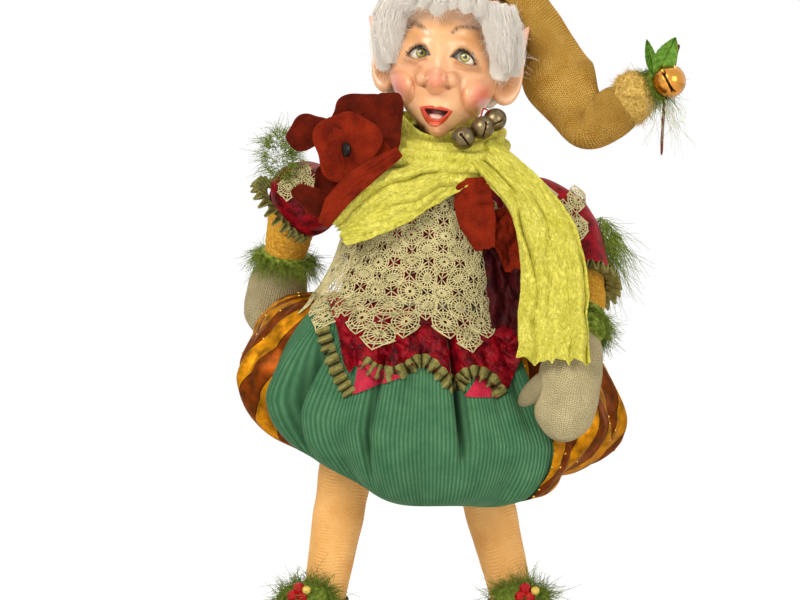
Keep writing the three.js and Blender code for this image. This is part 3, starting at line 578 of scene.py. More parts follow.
def leg_place(side):
    hip, foot = HIPS[side], FEET[side]
    line = np.array([hip + (hip - foot) / np.linalg.norm(hip - foot) * LEG_TOP_R, foot])
    length = np.linalg.norm(line[1] - line[0])

    def place(u, v):
        down = v * length - LEG_TOP_R
        radius = np.where(down < 0, np.sqrt(np.maximum(LEG_TOP_R ** 2 - down ** 2, 0)),
                          spline(LEG_R, down / (length - LEG_TOP_R)))
        radius = radius * np.where(v > 0.9999, 0, 1)
        wavy = 1.1 * np.sin(2 * np.pi * u + 1) + 0.7 * np.sin(6 * np.pi * u) + 0.8 * ruffle(3 * u, down / 30, 3)
        radius = radius + 0.24 * np.sin(2 * np.pi * (down + 2.2 * wavy) / NYLON_RING) * (radius > 1)
        radius = radius + 0.5 * ruffle(4 * u % 4, down / 14, 5) * (radius > 1)
        return round_line(u, v, line, radius, radius)
    return place


for side in ("right", "left"):
    mesh = cloth(f"{side}_stuffed_leg", 44, 420, leg_place(side), closed=True)
    leg = make_piece(mesh, f"{side}_leg", nylon, [f"{side}_leg"])
    print(leg.name, len(mesh.polygons), "faces")

# %% [markdown]
# ## Shoes
# Dark felt shoes with curled toes stand on flat leather soles. The solids already have the right shape,
# so a copy is remeshed and smoothed, as thick felt has no sharp edges. The soles keep their solids and
# only get a leather finish.

# %% Shoes and soles
shoe_felt = plain_cloth(
    "dark wool felt", "#3A2529", "#5B4147", patch=6, roughness=0.95, sheen=0.4, fibre=0.25, grit=0.5, depth=0.25)
sole_leather = plain_cloth(
    "brown sole leather", "#33241F", "#4A352C", patch=5, roughness=0.6, sheen=0.0, fibre=0.4, grit=0.5, depth=0.12)
for side in ("right", "left"):
    mesh = softened(f"{side}_felt_shoe", f"{side}_shoe", 1.3, 9)
    make_piece(mesh, f"{side}_leg", shoe_felt, [f"{side}_shoe"])
    refinish(f"{side}_sole", sole_leather)
    print(mesh.name, len(mesh.polygons), "faces")

# %% [markdown]
# ## Skirt
# A gathered balloon skirt: a corduroy panel in front and striped satin round the sides and back. The
# shape is close to the solid's turned profile, with the hem drawn in underneath and a wider mouth, so
# that the legs swing clear of it. The corduroy's ribs are real ridges, and the deep pleats are places
# where the cloth is pulled in.

# %% The skirt's surface
SKIRT_PROFILE = [(0.42, 0), (0.64, 0.04), (0.8, 0.12), (0.9, 0.28), (0.96, 0.45), (1, 0.63),
                 (0.955, 0.80), (0.84, 0.935), (0.72, 0.985), (0.665, 0.985), (0.645, 0.93)]
SKIRT_TILT = math.tan(math.radians(7))
SKIRT_X, SKIRT_TOP, SKIRT_SIDE, SKIRT_DEPTH = 3, 223, 124, 90
SKIRT_HEART = [SKIRT_X, 0, 165]


def skirt_points(angle, v, folds):
    """The skirt's outside: angle is 0 in front and grows towards the doll's left; folds is a factor."""
    reach, drop = spline(SKIRT_PROFILE, v).T
    hem = 117 - 11.5 * np.cos(angle) - 10.75 * np.cos(2 * angle) + 2.2 * np.sin(7 * angle + 0.5)
    slope = 1 - 0.28 * np.maximum(0, np.cos(angle)) ** 1.5 * np.maximum(0, 1 - drop / 0.65)
    wave = 1 + 0.022 * drop * np.sin(9 * angle + 0.6)
    wide = reach * wave * slope * folds
    x = np.sin(angle) * wide * SKIRT_SIDE
    y = -np.cos(angle) * wide * SKIRT_DEPTH
    z = SKIRT_TOP - drop * (SKIRT_TOP - hem) - x * SKIRT_TILT
    return np.stack([SKIRT_X + x, y, z], 1)


def groove(angle, at_deg, wide_deg):
    return np.exp(-((np.degrees(angle) - at_deg) / wide_deg) ** 2)


def fade(v, *stops):
    """Rises from 0 to 1 and falls again between four places along the cloth."""
    return np.interp(v, stops, [0, 1, 1, 0])


print("skirt profile:", len(SKIRT_PROFILE), "stops")

# %% Corduroy front panel
# Cotton corduroy: soft cut pile in ridges about 2.4 mm apart; painted shade darkens the grooves.
WALES = 82
PANEL_FROM, PANEL_TO = math.radians(-57), math.radians(42)
corduroy, tree, colour, height, shader = cloth_finish(
    "fine-wale cotton corduroy", "#38694A", "#548460", patch=12, roughness=0.9, sheen=0.3, tint="#8FB89A",
    fibre=0.3, grit=0.5)
# Painted shade: the grooves between the ribs are mixed towards a dark green.
paint_groove_shade(tree, shader, colour, stripes(tree, 0, WALES), "#1F4630", 0.6)
raise_threads(tree, shader, height, 0.2)
# Each fold: how far it stands out (below 0: is pulled in) as a share of the skirt's reach, its places
# as degrees round the skirt and width in degrees, its drift in degrees along the cloth and where the
# drift is 0, and where it fades in and out along the cloth.
PANEL_FOLDS = [
    (-0.25, [(9.5, 1.3)], (0, 0), (0.1, 0.2, 0.42, 0.6)),
    (0.06, [(14, 4), (5, 4)], (0, 0), (0.1, 0.25, 0.42, 0.6)),
    (-0.09, [(-18.5, 1.5)], (-5, 0.4), (0.1, 0.25, 0.55, 0.72)),
    (0.035, [(-14, 3.5), (-23, 3.5)], (0, 0), (0.1, 0.25, 0.5, 0.7)),
    (-0.24, [(-44, 2.6)], (-8, 0.5), (0.22, 0.4, 0.58, 0.72)),
    (0.06, [(-37, 4.5), (-51, 4)], (0, 0), (0.2, 0.4, 0.6, 0.75)),
    (-0.05, [(23, 1.8), (32, 2.2), (-8, 1.6)], (0, 0), (0.05, 0.15, 0.36, 0.5)),
    (-0.06, [(-30, 3), (-5, 3), (26, 4)], (0, 0), (0.55, 0.66, 0.75, 0.85)),
]


def corduroy_place(u, v):
    angle = PANEL_FROM + (PANEL_TO - PANEL_FROM) * u
    swell = 1 + 0.025 * np.sin(2 * np.pi * (2.6 * u + 0.1)) * fade(v, 0.1, 0.3, 0.7, 0.9)
    for share, places, (drift, start), stops in PANEL_FOLDS:
        pull = sum(groove(angle, at + drift * (v - start), wide) for at, wide in places)
        swell += share * pull * fade(v, *stops)
    swell += 0.02 * np.sin(15 * angle + 6 * v + 1.2) * fade(v, 0.45, 0.62, 0.8, 1.0)
    swell += 0.012 * ruffle(u * 9, v * 4, 2)
    rib = 0.0032 * (np.sqrt(np.abs(np.sin(np.pi * WALES * u))) - 0.6)
    return skirt_points(angle, v, swell + rib)


mesh = cloth("corduroy_panel", WALES * 6, 110, corduroy_place, inside=SKIRT_HEART)
panel = make_piece(mesh, "body", corduroy, ["skirt_front"])
print(mesh.name, len(mesh.polygons), "faces")

# %% Striped satin sides and back
# Polyester satin: long smooth floats, so a strong soft shine; copper and gold bands 12 mm wide slant
# round the skirt, each edged with a fine dark seam. The bands are painted darker and lighter in
# patches about 7 mm across, as painted shade and painted highlight of the satin's shine.
BANDS = 19
BAND_SLANT = 0.16
satin, tree, shader = new_finish("striped polyester satin")
across, along, _ = flat_parts(tree)
slanted = maths(tree, "ADD", across, maths(tree, "MULTIPLY", along, BAND_SLANT))
saw = maths(tree, "FRACT", maths(tree, "MULTIPLY", slanted, BANDS))
bands = node(tree, "ShaderNodeValToRGB", {"Fac": saw})
ramp = bands.color_ramp
ramp.interpolation = "CONSTANT"
ramp.elements[0].color = linear("#6E2E04")
ramp.elements[1].position = 0.485
ramp.elements[1].color = linear("#35190A")
for spot, code in ((0.51, "#B9790A"), (0.975, "#2A1206")):
    ramp.elements.new(spot).color = linear(code)
# Painted shade and painted highlight: the band colour times 0.35 to 1.4 in patches about 7 mm across.
shade = node(tree, "ShaderNodeMapRange", {"Value": cloud(tree, 7, 3.0), "From Min": 0.3, "From Max": 0.75,
                                          "To Min": 0.35, "To Max": 1.4})
fill(tree, shader, {"Base Color": shaded(tree, bands.outputs["Color"], shade), "Roughness": 0.34,
                    "Specular IOR Level": 0.45, "Specular Tint": linear("#FFD58A"), "Metallic": 0.7,
                    "Anisotropic": 0.4})
raise_threads(tree, shader, cloud(tree, 0.5, 2.0), 0.06)
BACK_FROM, BACK_TO = math.radians(37), math.radians(311)


def satin_place(u, v):
    angle = BACK_FROM + (BACK_TO - BACK_FROM) * u
    folds = 1 + 0.04 * np.sin(2 * np.pi * 11 * u + 1.4 * np.sin(4 * v)) * np.clip(v * 1.6, 0, 1)
    folds += 0.035 * np.abs(ruffle(u * 34, v * 7, 8)) - 0.02
    folds += 0.01 * ruffle(u * 90, v * 12, 9)
    return skirt_points(angle, v, folds)


mesh = cloth("satin_sides", 361, 77, satin_place, inside=SKIRT_HEART)
satin_piece = make_piece(mesh, "body", satin, ["skirt_back"])
print(mesh.name, len(mesh.polygons), "faces")

# %% Beads and piping
# Small gilt beads are sewn along the satin's seams, and a gilt cord edges the corduroy on the left.
BEADS = 170
gilt, tree, shader = new_finish("gilt glass bead")
tone = mixed(tree, cloud(tree, 1.5, 2.0), linear("#8A5A12"), linear("#F0CB5C"))
fill(tree, shader, {"Base Color": tone, "Metallic": 0.8, "Roughness": 0.25})
rng = np.random.default_rng(21)
across = (rng.integers(0, BANDS * 2, BEADS) / 2 + 0.02) / BANDS
along = rng.uniform(0.12, 0.7, BEADS)
across = np.clip(across - BAND_SLANT * along, 0.001, 0.999)
mesh = round_balls("gilt_beads", metres(satin_place(across, along)), 0.95, 1)
make_piece(mesh, "body", gilt)
along = np.linspace(0.03, 0.93, 160)
edge = corduroy_place(np.full_like(along, 0.9999), along)
twist = np.stack([np.cos(60 * along), np.sin(60 * along), 0 * along], 1) * 0.5
mesh = threads("gilt_piping", [edge + twist, edge - twist], 1.1, 1.0)
make_piece(mesh, "body", gilt)
print("beads:", BEADS)

# %% [markdown]
# ## Finding a place on the front
# Trimmings are easiest to place as they are seen from the front. A ray is sent backwards from in front
# of the doll, and where it meets the cloth the trimming is laid, a little ahead of it.

# %% Rays from the front


def ray_tree(*meshes):
    spots, faces = [], []
    for mesh in meshes:
        faces += [[i + len(spots) for i in f.vertices] for f in mesh.polygons]
        spots += [v.co.copy() for v in mesh.vertices]
    return BVHTree.FromPolygons(spots, faces)


def ahead_of(tree, x, z, lift, missing=-60.0):
    """Points lift millimetres ahead of a surface, for places (x, z) in the front view."""
    y = []
    for px, pz in zip(x, z):
        hit = tree.ray_cast(Vector(metres([px, -250, pz])), Vector((0, 1, 0)))[0]
        y.append(missing if hit is None else (hit.y - ORIGIN[1]) / MM)
    return np.stack([x, np.array(y) - lift, z], 1)


print("rays ready")

# %% [markdown]
# ## Body and crimson velvet
# A stuffed cotton body holds everything up. Over it goes a bodice of crushed velvet, with a short
# peplum whose lower edge waves. Velvet is made with a lot of sheen, and its pile lies in patches that
# are darker or lighter, which is what makes it look crushed; the wide swing of colour from near-black
# to crimson is painted shade and painted highlight of that crushed pile.

# %% Torso, bodice and peplum
cotton = plain_cloth(
    "unbleached cotton", "#B79F84", "#CDB99F", patch=8, depth=0.15)
mesh = softened("stuffed_torso", "torso", 2.5, 6)
torso = make_piece(mesh, "body", cotton, ["torso"])

# Painted shade and painted highlight: the colour swings from near-black to crimson in patches, as on crushed pile.
velvet = plain_cloth(
    "crushed crimson velvet", "#220004", "#960A1C", patch=8, roughness=0.5, sheen=0.3, tint="#D01030",
    fibre=0.35, grit=0.4, spread=0.17, depth=0.2)
TORSO_LINE = np.array([[-10.0, 0, 188], [4, 0, 322]])
TORSO_SIDE = [38, 47, 46, 44, 46, 49, 13]
TORSO_DEPTH = [28, 34, 34, 32, 32, 26, 13]


def bodice_place(u, v):
    t = 0.285 + 0.66 * v
    folds = 2.2 + 0.7 * ring_noise(u, v, 30, 8, 4)
    return round_line(u, t, TORSO_LINE, spline(TORSO_SIDE, t) + folds, spline(TORSO_DEPTH, t) + folds)


mesh = cloth("velvet_bodice", 160, 60, bodice_place, closed=True)
bodice = make_piece(mesh, "body", velvet, ["bodice"])

PEPLUM_EDGE = np.array([(-64, 212), (-60, 200), (-52, 176), (-45, 186), (-39, 187), (-33, 178), (-22, 182),
                        (-5, 189),
                        (10, 182), (19, 176), (28, 181), (36, 179), (44, 174), (52, 172), (60, 190), (64, 205)])
front_tree = ray_tree(panel.data, satin_piece.data)


def peplum_place(u, v):
    x = -64 + 126 * u + 16 * v * (1 - u) ** 2
    low = np.interp(x, *PEPLUM_EDGE.T)
    z = 221 - 0.12 * x - (221 - 0.12 * x - low) * v
    spots = ahead_of(front_tree, x, z, 2.6, missing=-34.0)
    bent = np.stack([x + 0.5 * z + 4 * ruffle(x, z, 5, 9), 0.7 * z], 1)
    turned = bent @ np.array([[0.6, 0.8], [-0.8, 0.6]])
    crush = 7.0 * np.abs(crumple(bent, 11, 3)) - 2.0 + 3.5 * np.abs(crumple(turned, 5, 6))
    crush += 0.8 * ruffle(x, z, 7, 2.2)
    spots[:, 1] -= np.maximum(crush, -1.6)
    return spots


mesh = cloth("velvet_peplum", 170, 70, peplum_place, inside=[0, 60, 190])
peplum = make_piece(mesh, "body", velvet, ["peplum"])
print("velvet:", len(bodice.data.polygons), len(peplum.data.polygons), "faces")

# %% Bright velvet points
# Two small pointed patches of a pinker velvet show under the trim.
pink_velvet = plain_cloth(
    "pink crimson velvet", "#99102C", "#C22C48", patch=6, roughness=0.5, sheen=0.5, tint="#FF9DB0",
    grit=0.4, depth=0.15)
peplum_tree = ray_tree(panel.data, satin_piece.data, peplum.data)
for name, corners in (("first_velvet_point", [(-46, 169), (-42, 190), (-15, 180)]),
                      ("second_velvet_point", [(24, 168), (34, 182), (45, 167)])):
    a, b, c = np.array(corners, float)

    def point_place(u, v):
        flat = a + (b - a) * v[:, None] + (c - b) * (u * v)[:, None]
        return ahead_of(peplum_tree, flat[:, 0], flat[:, 1], 1.6 + 0.5 * crumple(flat, 5, 2))

    mesh = cloth(name, 24, 24, point_place, inside=[0, 60, 180])
    piece = make_piece(mesh, "body", pink_velvet)

# %% Pleated ribbon trim
# Olive grosgrain ribbon in box pleats: blocks that stand up side by side, with painted shade in the gaps between
# them.
PLEAT = 5.6
ribbon_finish, tree, colour, height, shader = cloth_finish(
    "olive grosgrain ribbon", "#625F2C", "#97935A", patch=4, roughness=0.8, sheen=0.2, fibre=0.3, grit=0.4)
weave = stripes(tree, 1, 9)
raise_threads(tree, shader, maths(tree, "ADD", weave, height), 0.15)
# Painted shade: the gaps between the pleats are mixed towards near-black.
gap = stripes(tree, 0, 1, -math.pi / 2)
gap = maths(tree, "MULTIPLY", gap, 3.0, use_clamp=True)
paint_groove_shade(tree, shader, colour, gap, "#1E1D0C", 1.0)


def pleats(u, count):
    """1 on top of a pleat and 0 in the gap, with short steep sides."""
    return np.clip(1.25 - 4.4 * np.abs((u * count) % 1 - 0.5) ** 1.6 * 2.2, 0, 1)


def trim_run(name, path, wide, tree):
    path = np.array(path, float)
    length = np.linalg.norm(np.diff(path, axis=0), axis=1).sum()
    count = max(3, round(length / PLEAT))

    def place(u, v):
        middle = spline(path, u)
        ahead = unit(spline(path, u + 0.01) - spline(path, u - 0.01))
        side = np.stack([ahead[:, 1], -ahead[:, 0]], 1)
        top = pleats(u, count)
        fan = (v - 0.35) * wide * (0.8 + 0.2 * top)
        flat = middle + side * fan[:, None] + ahead * (0.5 * (v - 0.4) * np.sin(2 * np.pi * u * count))[:, None]
        spots = ahead_of(tree, flat[:, 0], flat[:, 1], 0.8)
        spots[:, 1] -= 3.0 * top * (0.6 + 0.4 * np.sin(np.pi * v))
        return spots

    mesh = cloth(name, count * 10, 6, place, inside=[0, 60, 180], cut=(count, 1))
    piece = make_piece(mesh, "body", ribbon_finish)
    return piece


WAVE = [(-39, 191), (-33, 186), (-26, 183.5), (-14, 185.5), (-6, 190.5), (2, 190), (10, 183), (17, 176.5),
        (20.5, 176.5), (24, 182), (32, 184), (42, 178.5), (49, 168)]
wave_run = trim_run("wavy_trim", WAVE, 10, peplum_tree)
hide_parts("peplum_trim")
trim_run("left_trim", [(-65, 211), (-60, 196), (-53, 180), (-46, 169)], 10, peplum_tree)
print("trim:", len(wave_run.data.polygons), "faces")

# %% [markdown]
# ## Lace shawl
# Crochet lace is mostly holes, so they are real. One motif is a polar net of lines: a hub, spokes, rings,
# and a diamond border that meets the next motif. Copies of it are laid out flat in staggered rows, the
# flat lace is moved onto the shoulders and breast as a shawl would lie, and its lines become threads.

# %% Crochet lace
PITCH = 9.2
lace_finish = plain_cloth(
    "cotton crochet lace", "#ABA477", "#DDD4A6", patch=7, roughness=0.9, sheen=0.2, fibre=0.35,
    grit=0.6, depth=0.25)
SHAWL_LINE = np.array([[4.0, 0, 318], [-2, 0, 174]])
SHAWL_SIDE = [17, 46, 53, 56, 63, 84, 98]
SHAWL_DEPTH = [17, 32, 37, 40, 47, 70, 78]
SHAWL_FRONT = [(-64, 330), (-62, 263), (-74, 234), (-78, 212), (-60, 208), (-34, 210), (-27, 199), (-15, 206),
               (13, 223),
               (12, 214), (17, 197), (33, 196), (42, 210), (49, 230), (64, 257), (64, 330)]
SHAWL_BACK = [(-64, 330), (-64, 248), (4, 230), (64, 248), (64, 330)]
SHOULDERS = {"right": np.array([-54.0, 0, 302]), "left": np.array([62.0, 0, 302])}


def motif(centre_hole):
    """The threads of one lace motif as a flat net: a hub, spokes, two rings and a diamond border."""
    bm = bmesh.new()
    bmesh.ops.create_grid(bm, x_segments=16, y_segments=4, size=0.5)
    rings = (0.14 if centre_hole else 0.0, 0.26, 0.52, 0.66, 1.0)
    for vert in bm.verts:
        turn = 2 * math.pi * round((vert.co.x + 0.5) * 16) / 16
        level = round((vert.co.y + 0.5) * 4)
        edge = 1 / (abs(math.cos(turn)) + abs(math.sin(turn)))
        reach = PITCH * (edge if level == 4 else min(rings[level], 0.92 * edge))
        vert.co = (math.cos(turn) * reach, math.sin(turn) * reach, 0)
    corners = [f for f in bm.faces if abs(f.calc_center_median().x) > 0.72 * PITCH]
    bmesh.ops.delete(bm, geom=corners, context="FACES")
    bmesh.ops.remove_doubles(bm, verts=bm.verts, dist=0.01)
    return bm


def inside_outline(x, z, outline):
    inside = np.zeros(len(x), bool)
    for (ax, az), (bx, bz) in zip(outline, outline[1:] + outline[:1]):
        crosses = (az > z) != (bz > z)
        inside ^= crosses & (x < ax + (bx - ax) * (z - az) / (bz - az + 1e-9))
    return inside


def lace_mesh(name, lay, keep, wide, high):
    """Flat motifs over a wide by high cut, kept where keep(points) says, moved by lay(x, y)."""
    kinds = [motif(False), motif(True)]
    whole = bmesh.new()
    for row in range(-int(high / PITCH) - 1, int(high / PITCH) + 2):
        for column in range(-int(wide / PITCH) - 1, int(wide / PITCH) + 2):
            if (row + column) % 2 == 0 and keep(lay(np.array([column * PITCH]), np.array([row * PITCH])))[0]:
                kind = kinds[row % 2]
                copy = {v: whole.verts.new(v.co + Vector((column * PITCH, row * PITCH, 0))) for v in kind.verts}
                for f in kind.faces:
                    whole.faces.new([copy[v] for v in f.verts]).smooth = True
    bmesh.ops.remove_doubles(whole, verts=whole.verts, dist=0.05)
    flat = np.array([v.co[:2] for v in whole.verts])
    slow = np.stack([crumple(flat, 11, 1), crumple(flat, 11, 2)], 1)
    quick = np.stack([crumple(flat, 2, 3), crumple(flat, 2, 4)], 1)
    flat += 1.5 * slow + 0.35 * quick
    for vert, spot in zip(whole.verts, metres(lay(flat[:, 0], flat[:, 1]))):
        vert.co = spot
    mesh = bpy.data.meshes.new(name)
    whole.to_mesh(mesh)
    whole.free()
    return mesh


def lace_piece(mesh, body, replaces=()):
    piece = make_piece(mesh, body, lace_finish, replaces)
    net = piece.modifiers.new("threads", "WIREFRAME")
    net.thickness = 1.2 * MM
    net.use_even_offset = False
    net.use_boundary = True
    worn = piece.evaluated_get(bpy.context.evaluated_depsgraph_get()).to_mesh()


def shawl_lay(x, y):
    v = np.clip((60 - y) / 146, 0, 1)
    u = 0.5 - x / 51 / (2 * np.pi)
    lift = 0.8 * ruffle(x, y, 4, 16) + 1.2
    flare = 1 + 0.16 * np.clip(-x / 60, 0, 1) * np.clip((v - 0.35) / 0.3, 0, 1)
    side = (spline(SHAWL_SIDE, v) + lift) * flare
    spots = round_line(u, v, SHAWL_LINE, side, spline(SHAWL_DEPTH, v) + lift)
    low = np.nonzero((v > 0.62) & (spots[:, 1] < 0))[0]
    laid = ahead_of(peplum_tree, spots[low, 0], spots[low, 2], 1.5, missing=0)
    spots[low, 1] = np.minimum(spots[low, 1], laid[:, 1])
    return spots


def shawl_keep(spots):
    x, y, z = spots.T
    front = inside_outline(x, z, SHAWL_FRONT) & (z > 190)
    back = inside_outline(x, z, SHAWL_BACK)
    clear = np.ones(len(x), bool)
    for shoulder in SHOULDERS.values():
        clear &= np.linalg.norm(spots - shoulder, axis=1) > 27
    return np.where(y < 0, front, back) & clear & (z < 316)


mesh = lace_mesh("lace_shawl_cloth", shawl_lay, shawl_keep, 170, 70)
lace_piece(mesh, "body", ["lace_shawl"])

# %% [markdown]
# ## Scarf
# A crinkled cotton gauze scarf goes round the neck and crosses itself in front. One end lies across the
# breast, the other hangs down on the left, and a collar closes the gap under the chin. All four are
# single sheets with folds. The fine crinkle is too small for the grid, so it is a height in the finish,
# stretched along the scarf, and its low places get painted shade.

# %% Gauze, neck wrap and two ends
gauze, tree, colour, height, shader = cloth_finish(
    "crinkled cotton gauze", "#C6C244", "#EEEA78", patch=10, roughness=0.9, sheen=0.3, fibre=0.3, grit=0.3)
uv = node(tree, "ShaderNodeTexCoord").outputs["UV"]
stretch = node(tree, "ShaderNodeMapping", {"Vector": uv, "Scale": (0.6, 0.33, 1.0)})
crinkle = node(tree, "ShaderNodeTexNoise", {"Vector": stretch.outputs[0], "Scale": 1.0, "Detail": 3.0,
                                            "Distortion": 0.8})
raise_threads(tree, shader, maths(tree, "ADD", crinkle.outputs["Fac"], height), 1.8)
# Painted shade: the crinkle's low places are mixed towards a dark olive.
crest = node(tree, "ShaderNodeMapRange", {"Value": crinkle.outputs["Fac"], "From Min": 0.35, "From Max": 0.6})
paint_groove_shade(tree, shader, colour, crest.outputs[0], "#8E8A1E", 0.5)


def wrap_place(u, v):
    turn = 2 * np.pi * u
    around = np.radians(-125 + 250 * v)
    rise = 4 * np.clip(-np.cos(turn), 0, 1) * np.clip(-np.sin(turn) + 0.4, 0, 1)
    centre = np.stack([9 + 33 * np.cos(turn), -5 + 30 * np.sin(turn),
                       320 + 9 * np.sin(turn) + 2 * np.cos(turn) + rise], 1)
    out = np.stack([np.cos(turn), np.sin(turn), 0 * turn], 1)
    slant = 5.2 * around + 1.7 * np.sin(turn + 0.8) + 0.8 * ring_noise(u, v, 7, 2, 15)
    folds = 3.4 * np.abs(np.sin(slant)) - 2.0 + 1.2 * ring_noise(u, v, 26, 6, 12)
    folds += 0.45 * ring_noise(u, v, 90, 22, 13)
    upward = np.outer((14 + folds) * np.sin(around), [0, 0, 1.0])
    return centre + out * ((12 + folds) * np.cos(around))[:, None] + upward


def strip_place(line, half, folds, depth, seed, twist=0.0):
    """A hanging strip that faces forwards, with lengthwise folds."""
    line, half = np.array(line, float), np.array(half, float)

    def place(u, v):
        v = v * (1 - 0.035 * np.abs(ruffle(u * 9, 0 * u, seed + 6)) * v ** 6)
        centre = spline(line, v)
        ahead = unit(spline(line, np.clip(v + 0.02, 0, 1)) - spline(line, np.clip(v - 0.02, 0, 1)))
        across = unit(np.cross(ahead, np.array([0, -1.0, 0])))
        front = np.cross(across, ahead)
        front *= np.where(front[:, 1:2] > 0, -1, 1)
        wander = 0.5 * ruffle(v * 5, u * 0, seed)
        bent = folds * u + wander + twist * v + 0.25 * ruffle(u * 4, v * 9, seed + 4)
        lift = 3.2 * depth * np.abs(ruffle(bent, v * 2.6, seed + 5)) - depth
        lift += 0.5 * depth * ruffle(u * 9, v * 14, seed + 1)
        lift += 0.2 * depth * ruffle(u * 20, v * 70, seed + 3)
        lift += 0.34 * depth * ruffle(u * 15 + 1.5 * np.sin(9 * v), v * 22, seed + 7)
        edge = spline(half, v) * (1 + 0.05 * ruffle(v * 12, np.sign(u - 0.5), seed + 2))
        return centre + across * ((2 * u - 1) * edge)[:, None] + front * lift[:, None]
    return place


SCARF_END = [(24, -41, 308), (-2, -48, 299), (-30, -49, 286), (-57, -44, 270)]
SCARF_LONG = [(36, -33, 322), (66, -52, 290), (79, -66, 258), (79, -88, 220), (78, -102, 190)]
mesh = cloth("scarf_wrap_cloth", 190, 64, wrap_place, inside=[9, -5, 322], cut=(210, 58))
wrap = make_piece(mesh, "body", gauze, ["scarf_wrap"])
mesh = cloth("scarf_short_cloth", 60, 112, strip_place(SCARF_END, [9, 15, 17, 11], 5, 1.9, 21),
             inside=[0, 60, 280],
             cut=(36, 92))
short_end = make_piece(mesh, "body", gauze, ["scarf_short_end"])
mesh = cloth("scarf_long_cloth", 84, 190, strip_place(SCARF_LONG, [11, 15, 19.5, 21.5, 23], 5.5, 3.4, 31, 0.5),
             inside=[60, 60, 250], cut=(52, 165))
long_end = make_piece(mesh, "body", gauze, ["scarf_long_end"])


def collar_place(u, v):
    turn = 2 * np.pi * u
    top = 331 + 16 * np.clip(2.6 * (1 + np.sin(turn - 0.1)), 0, 1)
    reach = 1 + 0.025 * np.sin(9 * turn + 5 * v) + 0.02 * ring_noise(u, v, 20, 5, 14)
    folds = 1.4 * np.sin(3 * np.pi * v + 1.5 * np.sin(turn))
    depth = 29 - 3 * v
    return np.stack([4 + (26 * reach + folds) * np.cos(turn), -3 + (depth * reach + folds) * np.sin(turn),
                     314 + (top - 314) * v], 1)


mesh = cloth("scarf_collar_cloth", 160, 36, collar_place, closed=True, cut=(180, 30))
collar = make_piece(mesh, "body", gauze)
for piece in (wrap, short_end, long_end, collar):
    give_wall(piece, 0.9)
print("scarf:", sum(len(p.data.polygons) for p in (wrap, short_end, long_end)), "faces")

# %% [markdown]
# ## Rust felt flower
# Cut felt petals overlap round a black eyelet on the doll's right shoulder; the five back petals are
# a darker copy of the felt, as painted shade behind the front ones. Two folded felt strips and a velvet
# fold hang at the breast, the fold in a darker copy of the velvet as painted shade, and a third strip
# runs along the scarf's short end. Each petal is a disc whose edge is bent by a few slow waves, then
# given thickness.

# %% Flower and felt strips
rust = plain_cloth(
    "rust wool felt", "#4A0C03", "#8C270C", patch=13, roughness=0.9, sheen=0.04, tint="#B8583A",
    fibre=0.25, grit=0.5, depth=0.15)
# Painted shade: a darker copy of the rust felt for the petals that lie behind.
shaded_rust = plain_cloth(
    "rust wool felt in painted shade", "#330903", "#6C1B08", patch=11, roughness=0.9, sheen=0.04, tint="#B8583A",
    fibre=0.25, grit=0.5, depth=0.15)
FLOWER_Y = -46.0
PETALS = [(-27, 336, 13, 24, -8, 4, 5), (-41, 346, 20, 12, 12, 6, 2), (-74, 333, 15, 11, 20, 5, 3),
          (-72, 290, 14, 8, -35, 3, 4),
          (-58, 302, 14, 11, 10, 5, 8), (-39, 318, 16, 17, 0, 1, 7), (-50, 324, 21, 23, -12, -1, 6)]


def petal_place(x, z, wide, high, turn_deg, back, seed):
    """A felt disc round (x, z) in the front view, bent by slow waves; its rim curls forwards or back."""
    lean = math.radians(turn_deg)

    def place(u, v):
        turn = 2 * np.pi * u
        ragged = 1 + 0.08 * np.sin(3 * turn + seed) + 0.06 * np.sin(5 * turn + 2 * seed)
        a, b = wide * v * np.cos(turn) * ragged, high * v * np.sin(turn) * ragged
        depth = back + 4.4 * v ** 2 * np.sin(2 * turn + 1.7 * seed) - 4.6 * v ** 4 * np.sin(turn + seed) ** 2
        depth += 2.0 * np.abs(ruffle(a + 0.5 * b, b, seed, 10))
        depth -= 1.6 * v * np.abs(np.sin(1.5 * turn + seed)) ** 6
        flat = np.array([[math.cos(lean), 0, math.sin(lean)], [-math.sin(lean), 0, math.cos(lean)]])
        return np.array([x, FLOWER_Y, z]) + np.stack([a, b], 1) @ flat + np.outer(depth, [0, 1.0, 0])
    return place


for number, values in enumerate(PETALS, 1):
    mesh = cloth(f"felt_petal_{number}", 44, 14, petal_place(*values), inside=[-50, 60, 322], closed=True)
    # Petals 1 to 5 lie behind and take the felt in painted shade.
    petal = make_piece(mesh, "body", rust if number > 5 else shaded_rust)
    give_wall(petal, 1.2, 1)
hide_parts("flower")


def felt_strip(name, line, half, seed, curl, node_name=None):
    mesh = cloth(name, 22, 34, strip_place(line, half, 1.0, curl, seed), inside=[30, 60, 270])
    strip = make_piece(mesh, "body", rust, [node_name] if node_name else ())
    give_wall(strip, 1.2, 1)


felt_strip("felt_strip_1", [(29, -41, 304), (31, -44, 286), (38, -45, 258)], [9, 12, 12, 6], 41, 2.0,
           "ribbon_petal_1")
felt_strip("felt_strip_2", [(46, -36, 284), (52, -39, 270), (58, -40, 244)], [7, 10, 10, 7], 42, 3.0,
           "ribbon_petal_2")
felt_strip("felt_strip_3", [(-16, -52, 321), (-36, -57, 308), (-54, -57, 292), (-65, -52, 274)],
           [3.5, 6.5, 7, 4], 43, 1.5)
